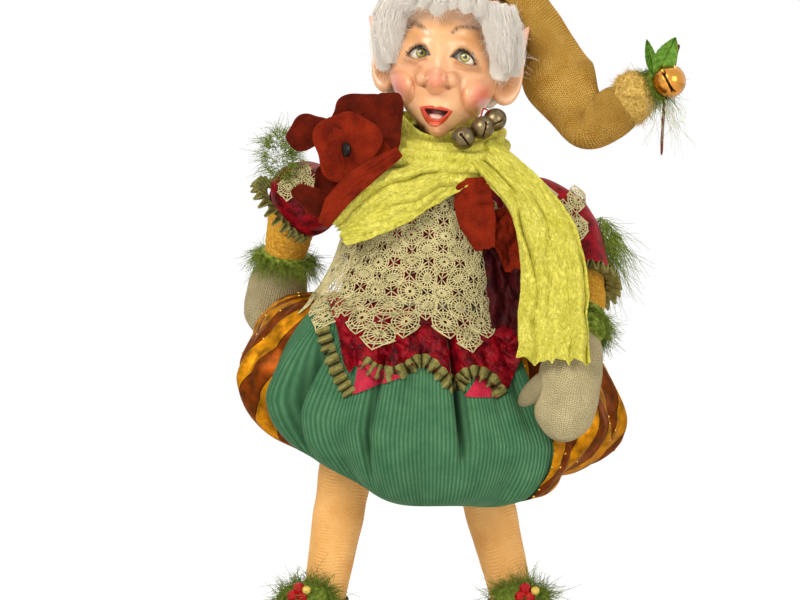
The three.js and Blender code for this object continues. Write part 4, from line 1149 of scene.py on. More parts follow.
# A velvet fold at the doll's left side, in a darker copy of the velvet that stands for the shade there.
SIDE_FOLD = [(44, -33, 270), (50, -37, 246), (55, -44, 222), (57, -52, 200)]
place = strip_place(SIDE_FOLD, [9, 12, 14, 15], 3, 2.5, 51)
mesh = cloth("velvet_side_fold", 40, 60, place, inside=[30, 60, 240])
shaded_velvet = plain_cloth(
    "crimson velvet in painted shade", "#1A0203", "#4C0A12", patch=7, roughness=0.6, sheen=0.1, tint="#8A1020",
    grit=0.4, depth=0.2)
side_fold = make_piece(mesh, "body", shaded_velvet)
give_wall(side_fold, 0.9)
print("petals:", len(PETALS))

# %% [markdown]
# ## Arms
# Each arm has a velvet sleeve with a lace patch and a pleated ribbon ruff, a mustard bouclé lower arm,
# and a knitted mitten with a cuff of green eyelash yarn. Yarn cuffs and tufts are many separate fibres.

# %% Arm finishes and places
mustard = plain_cloth(
    "mustard boucle knit", "#A8701A", "#DDAE45", patch=2.2, roughness=0.95, sheen=0.4, fibre=0.6, grit=0.8,
    depth=0.9)
mitten_knit = knit_finish("heather mitten knit", "#ADA27D", "#DCCFA5", "#776C4E", 40, 52, 0.9)
yarn = cloth_finish(
    "green eyelash yarn", "#48601A", "#93A544", patch=3.0, roughness=0.6, sheen=0.05, fibre=1.5)[0]
ARMS = {
    "right": dict(
        line=[(-68, 9, 297), (-84, 28, 284), (-90, 40, 264), (-93, 46, 248)],
        mitten=[(-93, 46, 250), (-99, 56, 224), (-105, 62, 195)],
        thumb=[(-97, 58, 232), (-91, 63, 227), (-88, 66, 223)],
        ruff=[(-90, 20, 286), (-98, 23, 279)],
        sleeve=0.42, lace=(-80, 306, 20, 18), cuff_hair=9, tuft_hair=9, tuft_rise=0.5, tuft_droop=0.35),
    "left": dict(
        line=[(76, -2, 290), (90, -8, 262), (100, -30, 232), (97, -64, 205)],
        mitten=[(98, -66, 208), (89, -82, 175), (84, -86, 140)],
        thumb=[(78, -80, 182), (67, -86, 172), (58, -88, 163)],
        ruff=[(99, -27, 237), (100, -35, 228)],
        sleeve=0.62, lace=(88, 281, 12, 15), cuff_hair=7, tuft_hair=16, tuft_rise=-1.2, tuft_droop=0.8),
}
ARM_R = [11, 16, 15, 13]
SLEEVE_R = [14, 23, 25, 23, 20]
MITTEN_SIDE = [12, 18.5, 20, 19, 15]
MITTEN_DEPTH = [10, 13, 13.5, 12, 9]
THUMB_R = [6.5, 6.3, 4.5]
CUFF_R = [16, 16.5, 16]
RUFF_PLEATS = 22


def tube_place(line, side, depth, start=0.0, end=0.0, rough=0.0, seed=1, count=(14, 8)):
    line = np.array(line, float)

    def place(u, v):
        close = dome(v, start, end)
        bumps = rough * ring_noise(u, v, *count, seed)
        return round_line(u, v, line, (spline(side, v) + bumps) * close, (spline(depth, v) + bumps) * close)
    return place


def yarn_tuft(name, roots, ways, body, length, count, thick=0.35, droop=0.5, nodes=(), finish=yarn):
    """Many loose fibres from picked roots, as one piece."""
    rng = np.random.default_rng(len(name) * 7 + count)
    pick = rng.integers(0, len(roots), count)
    starts = roots[pick] + rng.normal(size=(count, 3)) * 0.8
    leads = unit(ways[pick] + rng.normal(size=(count, 3)) * 0.45)
    paths = wisps(starts, leads, length, 0.35, droop, 4, rng)
    return make_piece(threads(name, paths, thick), body, finish, nodes)


print("arms:", list(ARMS))

# %% Sleeve with lace and ruff


def sleeve_pieces(side, arm, line):
    body = f"{side}_arm"
    first = unit(spline(line, np.array([0.02])) - line[:1])[0]
    middle = spline(line, np.array([0.2, 0.45, 0.7]) * arm["sleeve"])
    sleeve_line = np.vstack([line[0] - first * 15, middle, arm["ruff"][:1]])
    place = tube_place(sleeve_line, SLEEVE_R, SLEEVE_R, 0.3, 0, 1.6, 5, (9, 5))
    sleeve = cloth(f"{side}_velvet_sleeve", 120, 70, place, closed=True)
    piece = make_piece(sleeve, body, velvet, [f"{side}_sleeve"])
    sleeve_tree = ray_tree(sleeve)
    x, z, wide, high = arm["lace"]

    def patch_lay(a, b):
        return ahead_of(sleeve_tree, x + a, z + b, 1.3 + 0.6 * ruffle(a, b, 1, 6), missing=8)

    def patch_keep(spots):
        inside = np.hypot((spots[:, 0] - x) / wide, (spots[:, 2] - z) / high) < 1
        return inside & (spots[:, 1] < arm["line"][0][1] - 3)

    patch = lace_mesh(f"{side}_lace_patch_1", patch_lay, patch_keep, 2 * wide, 2 * high)
    lace_piece(patch, body)
    ruff_line = np.array(arm["ruff"], float)

    def ruff_place(u, v):
        reach = 16.5 + 9.5 * v
        return round_line(u, 0.2 + 0.6 * pleats(u, RUFF_PLEATS) * v, ruff_line, reach, reach)

    mesh = cloth(f"{side}_ruff", RUFF_PLEATS * 10, 6, ruff_place, closed=True, cut=(RUFF_PLEATS, 1))
    ruff = make_piece(mesh, body, ribbon_finish, [f"{side}_sleeve_trim"])
    give_wall(ruff, 0.5)


print("sleeve tools ready")

# %% Mitten and yarn


def mitten_pieces(side, arm):
    body = f"{side}_arm"
    place = tube_place(arm["mitten"], MITTEN_SIDE, MITTEN_DEPTH, 0.08, 0.24, 0.4, 7)
    mesh = cloth(f"{side}_knit_mitten", 88, 120, place, closed=True)
    mitten = make_piece(mesh, body, mitten_knit, [f"{side}_mitten"])
    place = tube_place(arm["thumb"], THUMB_R, THUMB_R, 0.3, 0.35)
    mesh = cloth(f"{side}_mitten_thumb", 44, 40, place, closed=True)
    thumb = make_piece(mesh, body, mitten_knit)


def yarn_pieces(side, arm, line):
    body = f"{side}_arm"
    ring_u = np.linspace(0, 1, 120, endpoint=False)
    ring_v = np.full_like(ring_u, 0.93)
    roots = round_line(ring_u, ring_v, line, 16.0, 16.0)
    hand = unit(np.array(arm["mitten"][1], float) - np.array(arm["mitten"][0]))
    ways = unit(unit(roots - spline(line, ring_v)) + 0.5 * hand)
    yarn_tuft(f"{side}_yarn_cuff", roots, ways, body, arm["cuff_hair"], 1500, nodes=[f"{side}_cuff"])
    place = tube_place(spline(line, np.array([0.86, 0.99])), CUFF_R, CUFF_R, 0.2, 0.2, 1.0, 4, (20, 5))
    core = cloth(f"{side}_yarn_core", 60, 20, place, closed=True)
    make_piece(core, body, yarn)
    spots, ways = scattered(frame["nodes"][f"{side}_tuft"].data, 300, np.random.default_rng(4))
    ways = unit(ways * (1.0, 1.0, 0.6) + np.array([0, 0, arm["tuft_rise"]]))
    yarn_tuft(f"{side}_yarn_tuft", spots, ways, body, arm["tuft_hair"], 900, droop=arm["tuft_droop"],
              nodes=[f"{side}_tuft"])


print("mitten and yarn tools ready")

# %% Both arms
for side, arm in ARMS.items():
    line = np.array(arm["line"], float)
    place = tube_place(line, ARM_R, ARM_R, 0.12, 0.1, 0.5, 3, (30, 30))
    mesh = cloth(f"{side}_boucle_arm", 72, 80, place, closed=True)
    piece = make_piece(mesh, f"{side}_arm", mustard, [f"{side}_arm"])
    sleeve_pieces(side, arm, line)
    mitten_pieces(side, arm)
    yarn_pieces(side, arm, line)
    print(side, "arm pieces made")

# %% [markdown]
# ## Shoe pompons
# A ball of mossy fibres sits on each shoe with a few glossy berries in it. The fibres start on the
# solid ball's surface and point outwards. The red berries keep their solids, with a lacquer finish,
# and one yellow berry is added beside them.

# %% Pompons and berries
moss = plain_cloth(
    "dyed moss fibre", "#3C5218", "#84993C", patch=2.5, roughness=0.8, sheen=0.05, fibre=1.2, depth=0.5)
LACQUER = dict(patch=3, roughness=0.25, sheen=0.0, grit=0.1)
lacquer = cloth_finish("red lacquered berry", "#8E0F16", "#C2222A", **LACQUER)[0]
yellow_lacquer = cloth_finish("yellow lacquered berry", "#C9A63A", "#E8D67C", **LACQUER)[0]
YELLOW_OFFSET = np.array([6.0, -1.5, 2.5])
for side in ("right", "left"):
    core = softened(f"{side}_moss_core", f"{side}_pompon", 1.6, 4)
    make_piece(core, f"{side}_leg", moss, [f"{side}_pompon"])
    spots, ways = scattered(core, 500, np.random.default_rng(6))
    yarn_tuft(f"{side}_moss_fibres", spots, ways, f"{side}_leg", 9, 1100, 0.4, 0.2, finish=moss)
    refinish(f"{side}_berries", lacquer)
    heart = mesh_spots(frame["nodes"][f"{side}_berries"].data).mean(axis=0)
    mesh = round_balls(f"{side}_yellow_berry", [heart + YELLOW_OFFSET * MM], 2.8, 3)
    make_piece(mesh, f"{side}_leg", yellow_lacquer)
print("pompons made")

# %% [markdown]
# ## Painted head
# The head is a cast shell with a painted face. It is a polar grid whose pole is at the nose, so that the
# points are closest together on the face. Hills and hollows shape the nose, cheeks, lids and lips. The
# paint is a colour attribute worked out from the same places: skin, blush, lips, brows and lid lines,
# with painted shade in the creases, nostrils, lid folds and eye openings and under the nose and eyes,
# and a painted highlight on the lower lip.

# %% Places on the head
HEAD_PLACE = np.array(Matrix.Rotation(math.radians(7), 3, "Y") @ Matrix.Rotation(math.radians(-4), 3, "Z"))
BALLS = [(0.7, 40.4, 8, 8.6, 11.5), (-8.9, 41.2, 4.8, 5.2, 5), (10, 42.6, 5, 5.4, 5.5),
         (-23.4, 33, 11.2, 11.6, 8.2),
         (28.8, 33.2, 11.2, 12, 8.7), (4.7, 7.2, 9.5, 7.2, 9)]
HILLS = [(0.3, 52, 5, 10, 6), (1, 41, 13, 9, 3), (2.6, 19, 13, 9, 4), (-15, 74, 12, 5, 2.2),
         (16, 76, 12, 5, 2.2), (-14, 49.5, 8, 2.6, 1.6),
         (17.5, 49, 8, 2.6, 1.6), (-13.5, 66, 9, 4, 1.4), (17, 67.5, 9, 4, 1.4), (0, 66, 6, 8, 1.5)]
CREASES = [([(-11, 47.5), (-14, 43.5), (-13.4, 38), (-15.4, 32), (-16, 28)], 0.3),
           ([(12.1, 48), (16.4, 43.5), (16.2, 38), (18.4, 32), (19.5, 28)], 0.3),
           ([(-21.2, 50.8), (-14.5, 49.8), (-8.5, 53)], 0.35),
           ([(11.6, 52.5), (18.3, 50.4), (25.3, 51.4)], 0.35),
           ([(-5, 9.8), (3.5, 9.9), (12, 11.4)], 0.25),
           ([(-6.6, 46), (-5.9, 41), (-6.4, 36)], 0.16),
           ([(7.6, 47), (7.1, 41.5), (7.8, 37)], 0.16)]
EYES = {"right": dict(inner=(-6.2, 56.7), outer=(-20.2, 54.6), up=5.1, down=2.1, ball=(-13.2, -25.6, 57.0),
                      iris=(1.7, 0.3)),
        "left": dict(inner=(8.5, 57.3), outer=(23.8, 53.9), up=5.6, down=1.5, ball=(15.8, -25.6, 57.4),
                     iris=(0.8, 0.6))}
NOSTRILS = [(-6.6, 36.6), (7.8, 37.4)]
BALL = 7.7


def from_head(points):
    return NECK + np.asarray(points, float) @ HEAD_PLACE.T


def to_head(spots):
    """The frame's metres as the head's own millimetres."""
    return (millimetres(spots) - NECK) @ HEAD_PLACE


def line_distance(x, z, line):
    """The distance in the front view from places to a bent line."""
    near = np.full(len(x), 1e9)
    line = np.array(line, float)
    for a, b in zip(line, line[1:]):
        way = b - a
        t = np.clip(((x - a[0]) * way[0] + (z - a[1]) * way[1]) / (way @ way), 0, 1)
        near = np.minimum(near, np.hypot(x - a[0] - t * way[0], z - a[1] - t * way[1]))
    return near


def eye_depth(x, z, eye):
    """How far inside the almond opening a place is, in millimetres; negative outside it."""
    (ax, az), (bx, bz) = eye["inner"], eye["outer"]
    s = 2 * (x - ax) / (bx - ax) - 1
    middle = az + (bz - az) * (s + 1) / 2
    arch = np.maximum(1 - s ** 2, -1.5)
    return np.minimum(middle + eye["up"] * arch * (1 - 0.12 * s) - z, z - middle + eye["down"] * arch)


def mouth_depth(x, z):
    t = (x - 3.0) / 7.4
    return np.minimum(23.0 - 0.6 * t ** 2 - z, z - 16.0 - 5.6 * t ** 2)


def lip_depth(x, z):
    t = np.abs(x - 2.5) / 10.8
    return np.minimum(25.2 - 1.0 * np.exp(-((x - 2.4) / 1.6) ** 2) - 2.0 * t ** 2 - z,
                      z - 11.3 - 11.4 * t ** 2.1)


def face_relief(spots, front):
    x, y, z = spots.T.copy()
    for cx, cz, wide, high, out in HILLS:
        y -= out * front * bump_at(x, z, cx, cz, wide, high)
    for cx, cz, wide, high, out in BALLS:
        y -= out * front * np.clip(1 - ((x - cx) / wide) ** 2 - ((z - cz) / high) ** 2, 0, 1) ** 0.65
    near = front > 0.25
    for crease, share in CREASES:
        y += np.where(near, 2.4 * share * np.exp(-(line_distance(x, z, crease) / 1.6) ** 2), 0)
    for nx, nz in NOSTRILS:
        y += np.where(near, 2.2 * bump_at(x, z, nx, nz, 2.2, 1.1), 0)
    lips = np.clip(lip_depth(x, z) / 2.0, 0, 1)
    y -= np.where(near, 2.4 * np.sin(lips * np.pi / 2), 0)
    y += np.where(near, 7 * np.clip(mouth_depth(x, z) / 1.2 + 0.1, 0, 1), 0)
    for eye in EYES.values():
        deep = eye_depth(x, z, eye)
        lid = np.exp(-(np.maximum(-deep, 0) / 2.6) ** 2) * (deep < 0.4)
        y -= np.where(near, 2.4 * lid, 0)
        y += np.where(near, 9 * np.clip(deep / 0.8, 0, 1), 0)
    return np.stack([x, y, z], 1)


def head_local(u, v):
    polar = np.pi * v ** 1.3
    turn = 2 * np.pi * u
    way = np.stack([np.sin(polar) * np.sin(turn), -np.cos(polar), np.sin(polar) * np.cos(turn)], 1)
    low = np.maximum(0, -way[:, 2])
    jaw = 1 - 0.55 * low ** 2.2
    spots = np.array([0, 2, 50]) + way * np.stack([36 * jaw, 0 * jaw + 40, 0 * jaw + 48], 1)
    spots[:, 0] += 4.8 * np.sqrt(low)
    spots[:, 1] -= 14 * low ** 1.2 * np.clip(-way[:, 1] / 0.5, 0, 1)
    return face_relief(spots, np.clip(-way[:, 1] / 0.35, 0, 1) ** 2)


print("face:", len(BALLS) + len(HILLS), "hills and", len(CREASES), "creases")

# %% Face paint
BLUSH = [(-27, 32.5, 9, 0.85), (32, 32.5, 9, 0.85), (0.6, 41, 7, 0.6), (4.5, 6, 7, 0.25),
         (-22, 38, 9, 0.15), (27, 38, 9, 0.15)]
BROWS = [([(-22, 73), (-17.6, 76), (-13.7, 74)], 1.9), ([(-13.7, 74), (-7.3, 71)], 1.0),
         ([(7, 72.9), (9.7, 76), (14.2, 77.4), (21, 77.6)], 1.5)]


def blended(colour, weight, code):
    weight = np.clip(weight, 0, 1)[:, None]
    return colour * (1 - weight) + np.array(linear(code)[:3]) * weight


def one_colour(count, code):
    return np.tile(np.array(linear(code)[:3]), (count, 1))


def face_paint(x, z, y):
    """The painted colour at places on the head, with painted shade and a painted highlight among it."""
    colour = one_colour(len(x), "#E8B384")
    front = np.clip((-y - 4) / 14, 0, 1)
    near = front > 0.3
    colour = blended(colour, 0.35 * ruffle(x, z, 5, 15) * front, "#F2C9A2")
    # Painted shade: brown patches in the lid folds above the eyes.
    for cx, cz in ((-14, 67), (16.5, 68.5)):
        colour = blended(colour, 0.6 * front * bump_at(x, z, cx, cz, 10, 5.5), "#B9772E")
    # Painted shade: brown patches under the lower lids.
    for cx in (-14, 17.5):
        colour = blended(colour, 0.4 * front * bump_at(x, z, cx, 51, 9, 3), "#C08050")
    for cx, cz, wide, share in BLUSH:
        colour = blended(colour, share * front * bump_at(x, z, cx, cz, wide, wide * 1.1), "#E4685E")
    # Painted shade along the creases that face_relief pushes in.
    for crease, share in CREASES:
        colour = blended(colour, 1.3 * share * front * np.exp(-(line_distance(x, z, crease) / 2.2) ** 2),
                         "#965028")
    # Painted shade in the nostrils.
    for nx, nz in NOSTRILS:
        colour = blended(colour, 0.4 * front * bump_at(x, z, nx, nz, 3.0, 1.2), "#7E3D22")
    # Painted shade under the nose.
    colour = blended(colour, 0.35 * front * bump_at(x, z, 1.2, 31.5, 7, 2), "#A86A38")
    strokes = 0.8 + 0.5 * ruffle(x * 1.6 + z * 0.8, z * 0.5, 8, 0.9)
    for brow, thick in BROWS:
        colour = blended(colour, 0.9 * front * strokes * np.exp(-(line_distance(x, z, brow) / thick) ** 2),
                         "#5C4C41")
    lips = np.clip(lip_depth(x, z) / 0.5, 0, 1) * near
    colour = blended(colour, lips, "#C63A1E")
    # Painted highlight on the middle of the lower lip.
    colour = blended(colour, 0.6 * lips * bump_at(x, z, 2.6, 13.4, 5, 1.3), "#F0916A")
    colour = blended(colour, np.clip(mouth_depth(x, z) / 0.6, 0, 1) * near, "#5B0F0B")
    for eye in EYES.values():
        deep = eye_depth(x, z, eye)
        above = z > eye["ball"][2] - 1.0
        # Painted shade above each eye, fading upwards from the upper lid.
        colour = blended(colour, np.where(above, 0.75, 0.0) * np.exp(-(np.minimum(deep, 0) / 2.6) ** 2) * near,
                         "#4A2D18")
        colour = blended(colour, np.where(above, 1.0, 0.5)
                         * np.exp(-((deep + 0.4) / np.where(above, 1.0, 0.6)) ** 2)
                         * near, "#1E1410")
        # Painted shade inside the eye openings, round the glass eyes.
        colour = blended(colour, np.clip(deep / 0.6, 0, 1) * near, "#3A1B14")
    return colour


def paint_mesh(mesh, colours):
    layer = mesh.attributes.new("paint", "FLOAT_COLOR", "POINT")
    opaque = np.concatenate([colours, np.ones((len(colours), 1))], 1)
    layer.data.foreach_set("color", opaque.astype(np.float32).ravel())


def painted_finish(name, roughness, coat, metallic=0.0, soft=0.0, patch=2.5, depth=0.03):
    """A finish whose colour is the mesh's own paint, a little uneven."""
    made, tree, shader = new_finish(name)
    paint = node(tree, "ShaderNodeAttribute", attribute_name="paint")
    lumps = cloud(tree, patch, 4.0)
    shade = node(tree, "ShaderNodeMapRange", {"Value": lumps, "To Min": 0.86, "To Max": 1.12})
    fill(tree, shader, {"Base Color": shaded(tree, paint.outputs["Color"], shade), "Roughness": roughness,
                        "Metallic": metallic, "Coat Weight": coat, "Coat Roughness": 0.15,
                        "Subsurface Weight": soft, "Subsurface Radius": (1.0, 0.35, 0.2),
                        "Subsurface Scale": 2 * MM})
    raise_threads(tree, shader, lumps, depth)
    return made


cast_paint = painted_finish("painted cast resin", 0.36, 0.5, soft=0.1)
print("paint ready")

# %% Head and ears


def head_place(u, v):
    return from_head(head_local(u, v))


mesh = cloth("painted_head", 340, 230, head_place, inside=from_head([0, 2, 50]), closed=True)
spots = to_head(mesh_spots(mesh))
paint_mesh(mesh, face_paint(spots[:, 0], spots[:, 2], spots[:, 1]))
head = make_piece(mesh, "head", cast_paint, ["head"])
EARS = {"right": ([(-35, 4, 30), (-37, 6, 42), (-38, 8, 56), (-44, 10, 69), (-51, 13, 79)], [4, 7.5, 8, 5, 1]),
        "left": ([(41, 3, 31), (43.5, 6, 42), (44, 8, 56), (47.5, 10, 70), (53, 13, 84)],
                 [5.5, 9, 9.5, 5.5, 1])}
for side, (ear_line, ear_side) in EARS.items():
    ear_line = np.array(ear_line, float)
    ear_depth = np.array([4, 4.5, 4.5, 3.5, 1.0])

    def ear_place(u, v):
        close = dome(v, 0.12, 0.06)
        spots = round_line(u, v, ear_line, spline(ear_side, v) * close, spline(ear_depth, v) * close)
        facing = np.maximum(0, -np.cos(2 * np.pi * u))
        hollow = np.exp(-((v - 0.4) / 0.24) ** 2) * facing ** 3
        spots[:, 1] += 5.0 * hollow
        return from_head(spots)

    mesh = cloth(f"{side}_ear", 60, 60, ear_place, closed=True)
    spots = to_head(mesh_spots(mesh))
    colour = one_colour(len(spots), "#F0C09A")
    # Painted shade: an orange-tan patch in the ear's hollow.
    colour = blended(colour, 0.75 * bump_at(spots[:, 0], spots[:, 2], ear_line[1][0] - 1, 45, 5, 8), "#B5702F")
    colour = blended(colour, np.clip((spots[:, 2] - 68) / 14, 0, 0.6), "#F0A99A")
    paint_mesh(mesh, colour)
    make_piece(mesh, "head", cast_paint)
print("head:", len(head.data.polygons), "faces")

# %% Glass eyes, lashes and tongue
# Glass eyes: a white ball with a green-hazel iris, painted by how far a place is from the pole, with
# painted shade of the lid on the top of the ball and a painted highlight on the iris.
eye_finish = painted_finish("painted glass eye", 0.08, 0.8, depth=0.0)
lash_hair = cloth_finish("black lash hair", "#120D0A", "#2A2019", patch=1)[0]
for side, eye in EYES.items():
    side_way, up_way = eye["iris"]
    pole = unit(np.array([side_way, -math.sqrt(BALL ** 2 - side_way ** 2 - up_way ** 2), up_way]))
    across = unit(np.cross(pole, [0, 0, 1.0]))
    rise = np.cross(across, pole)

    def eye_place(u, v):
        way = ball_ways(u, np.pi * v ** 1.2, pole, across, rise)
        return from_head(np.array(eye["ball"]) + way * BALL)

    mesh = cloth(f"{side}_glass_eye", 64, 60, eye_place, closed=True)
    spots = to_head(mesh_spots(mesh)) - np.array(eye["ball"])
    reach = np.degrees(np.arccos(np.clip(spots @ pole / BALL, -1, 1)))
    spin = np.arctan2(spots @ across, spots @ rise)
    colour = one_colour(len(spots), "#EFE9DC")
    colour = blended(colour, np.clip((27 - reach) / 2, 0, 1), "#24220F")
    colour = blended(colour, np.clip((24 - reach) / 3, 0, 1), "#8C8B34")
    colour = blended(colour, np.clip((21 - reach) / 6, 0, 1) * (0.55 + 0.45 * np.sin(17 * spin)), "#D6CB6A")
    colour = blended(colour, np.clip((10.5 - reach) / 1.5, 0, 1), "#0C0A08")
    # Painted shade: the top of the ball darkens, as the shade of the lid.
    colour = blended(colour, np.clip((spots[:, 2] - 1.0) / 4, 0, 0.8), "#3B2A1C")
    # Painted highlight: a small white spot near the pupil.
    painted_glint = np.linalg.norm(spots - unit(pole + 0.12 * across + 0.13 * rise) * BALL, axis=1)
    colour = blended(colour, np.clip((0.75 - painted_glint) / 0.2, 0, 1), "#FFFFFF")
    paint_mesh(mesh, colour)
    make_piece(mesh, "head", eye_finish, [f"{side}_eye"])
    (ax, az), (bx, bz) = eye["inner"], eye["outer"]
    rng = np.random.default_rng(3)
    lashes = []
    for s in np.linspace(-0.8, 1.0, 44):
        arch = (1 - s ** 2) * (1 - 0.12 * s)
        start = np.array([(ax + bx) / 2 + s * (bx - ax) / 2, -37.0 + 4 * s ** 2,
                          az + (bz - az) * (s + 1) / 2 + eye["up"] * arch])
        way = np.array([0.55 * s * np.sign(bx - ax), -0.9, 0.35 - 0.4 * max(0, s)]) + rng.normal(size=3) * 0.12
        t = np.linspace(0, 1, 5)[:, None]
        lashes.append(start + (2.2 + 2.2 * max(0, s)) * (way * t + np.array([0, 0, 0.5]) * t ** 2))
    paths = [from_head(path) for path in lashes]
    make_piece(threads(f"{side}_lashes", paths, 0.36, 0.3), "head", lash_hair)


def tongue_place(u, v):
    polar, turn = np.pi * v, 2 * np.pi * u
    way = np.stack([np.sin(polar) * np.sin(turn), -np.cos(polar), np.sin(polar) * np.cos(turn)], 1)
    return from_head(np.array([3.0, -34.5, 17.6]) + way * np.array([6.0, 4.0, 2.8]))


mesh = cloth("painted_tongue", 40, 30, tongue_place, closed=True)
paint_mesh(mesh, one_colour(len(mesh.vertices), "#EBB7A6"))
make_piece(mesh, "head", cast_paint)
print("eyes, lashes and tongue made")

# %% [markdown]
# ## Hair
# White wool roving is glued on in locks. A soft base keeps the scalp from showing. Over it each lock is a
# bundle of fibres that follow one path, spread out in the middle and come together at the tip.

# %% Wool hair
wool, tree, colour, height, shader = cloth_finish(
    "white wool roving", "#FAF6F0", "#FFFFFF", patch=6, roughness=0.75, sheen=0.7, fibre=0.8, grit=0.6)
raise_threads(tree, shader, height, 0.6)
glow = node(tree, "ShaderNodeBsdfTranslucent", {"Color": linear("#FFFAF2")})
fill(tree, tree.nodes["Material Output"], {"Surface": mixed_shader(tree, 0.15, shader, glow)})
mesh = softened("hair_base", "hair", 1.8, 6)
for vert in mesh.vertices:
    spot = to_head(vert.co)
    if spot[1] < -8:
        spot[1] = -8 + 0.45 * (spot[1] + 8)
        vert.co = metres(from_head(spot))
make_piece(mesh, "head", wool, ["hair"])
base = mesh


def lock(path, radii, count, rng):
    """A bundle of curly fibres along a path on the head."""
    t = np.linspace(0, 1, 7)
    middle = spline(np.array(path, float), t)
    ahead = unit(np.gradient(middle, axis=0))
    side = unit(np.cross(ahead, np.array([0, 1.0, 0.2])))
    up = np.cross(side, ahead)
    spread = spline(radii, t)
    turn = rng.uniform(0, 2 * np.pi, count)
    reach = rng.random(count) ** 0.35 * rng.choice([1.0, 1.0, 1.0, 1.15], count)
    phase = rng.uniform(0, 2 * np.pi, (count, 1))
    curl = phase + rng.uniform(5, 14, (count, 1)) * t
    swing = rng.uniform(0.6, 1.9, (count, 1))
    a = (np.cos(turn) * reach)[:, None] * spread + swing * np.sin(curl)
    b = (np.sin(turn) * reach)[:, None] * spread + swing * np.cos(curl * 0.8)
    slip = rng.uniform(-0.12, 0.12, (count, 1))
    middle = spline(np.array(path, float), np.clip(t + slip, 0, 1).ravel()).reshape(count, 7, 3)
    return from_head((middle + a[..., None] * side + b[..., None] * up).reshape(-1, 3)).reshape(count, 7, 3)


LOCKS = [([(-31, -29, 91), (-33, -27, 77), (-32, -24, 63), (-30, -22, 49)], [7, 8.5, 7.5, 3]),
         ([(-36, -20, 90), (-38, -15, 74), (-37, -12, 58), (-33, -14, 44)], [7, 8, 8, 3.5]),
         ([(-28, -32, 93), (-30, -32, 85), (-30, -29, 74), (-29, -27, 65)], [6, 6, 5, 3]),
         ([(31, -29, 93), (35, -27, 80), (39, -23, 66), (43, -19, 52)], [7, 8, 7.5, 3]),
         ([(36, -20, 92), (42, -15, 77), (46, -11, 63), (46, -10, 50)], [7, 8, 7, 4]),
         ([(27, -33, 94), (29, -33, 87), (33, -29, 75), (37, -26, 63)], [5, 6, 5.5, 3]),
         ([(-21, -36, 99), (-21, -39, 94), (-24, -38, 89), (-27, -35, 84)], [6, 6, 5, 3]),
         ([(-10, -37, 100), (-11, -41, 95), (-12, -42, 90), (-14, -41, 86)], [6, 6, 4, 2]),
         ([(-3, -38, 100), (-3, -42, 94), (-3, -43, 88), (-6, -42, 82)], [6, 6, 4, 1.5]),
         ([(5, -38, 101), (4, -41, 97), (5, -42, 92), (7, -41, 88)], [6, 5, 4, 2]),
         ([(13, -37, 101), (13, -41, 96), (14, -42, 91), (16, -41, 86)], [6, 6, 5, 2]),
         ([(21, -35, 100), (21, -39, 95), (22, -40, 90), (24, -38, 86)], [6, 5, 4, 2])]
rng = np.random.default_rng(17)
for number in range(0, len(LOCKS), 3):
    trio = LOCKS[number:number + 3]
    paths = [path for values in trio for path in lock(*values, 450, rng)]
    locks = make_piece(threads(f"hair_locks_{number // 3 + 1}", paths, 0.3, 0.5, 0.8), "head", wool)
frizz = []
for number, (path, radii) in enumerate(LOCKS, 1):
    spots = from_head(np.array(path, float) + np.array([0, 1.0, 0]))
    mesh = cloth(f"lock_core_{number}", 40, 50,
                 tube_place(spots, np.array(radii) * 0.74, np.array(radii) * 0.74, 0.15, 0.3, 1.2, number,
                            (12, 5)),
                 closed=True)
    make_piece(mesh, "head", wool)
    spots, ways = scattered(mesh, 420, rng)
    ways = unit(0.5 * ways + 0.5 * np.array([0, -0.3, -1.0]) + 0.6 * rng.normal(size=ways.shape))
    frizz.append(wisps(spots, ways, 2.2 if number > 6 else 2.9, 1.1, 0.0, 4, rng))
for number in (1, 2):
    name = f"hair_frizz_{number}"
    paths = np.concatenate(frizz[number - 1::2])
    make_piece(threads(name, paths, 0.26, 0.4, 0.8), "head", wool)
spots, ways = scattered(base, 2600, rng)
down = np.array([0, 0, -1.0]) - ways * (ways @ np.array([0, 0, -1.0]))[:, None]
paths = wisps(spots - ways * 1.0, unit(0.45 * ways + 0.8 * unit(down) + 0.25 * rng.normal(size=ways.shape)), 5,
              0.6, 0.1, 4, rng)
make_piece(threads("hair_fluff", paths, 0.35, 0.4, 0.8), "head", wool)
print("hair:", len(locks.data.polygons), "lock faces")

# %% [markdown]
# ## Hat
# A golden knitted stocking cap ends in a long tail that folds over. The tail is one tube, placed in
# the frame's metres and not attached to any body.

# %% Knitted cap and tail
hat_knit = knit_finish("golden stocking knit", "#C08C33", "#E8BE64", "#7E5517", 52, 118, 1.1)
cap_knit = knit_finish("golden cap knit", "#C08C33", "#E8BE64", "#7E5517", 120, 40, 1.1)
LEAN = np.array(Matrix.Rotation(math.radians(-38), 3, "X"))
CAP_MIDDLE, CAP_RADII, BRIM = np.array([2.0, 18, 66]), np.array([53.0, 55, 50]), np.array([0, 12.0, 86])


def cap_point(turn, polar):
    way = np.stack([np.sin(polar) * np.sin(turn), np.sin(polar) * np.cos(turn), np.cos(polar)], 1) @ LEAN.T
    return CAP_MIDDLE + way * CAP_RADII


def cap_place(u, v):
    turn = 2 * np.pi * u
    low, high = np.zeros_like(u), np.full_like(u, np.pi)
    for _ in range(30):
        middle = (low + high) / 2
        above = (cap_point(turn, middle) - BRIM) @ LEAN[:, 2] > 0
        low, high = np.where(above, middle, low), np.where(above, high, middle)
    spots = cap_point(turn, low * v)
    ribs = 0.25 * np.sin(2 * np.pi * 75 * u) * v
    return from_head(spots + unit(spots - CAP_MIDDLE) * (ribs + 0.8 * ring_noise(u, v, 12, 4, 9))[:, None])


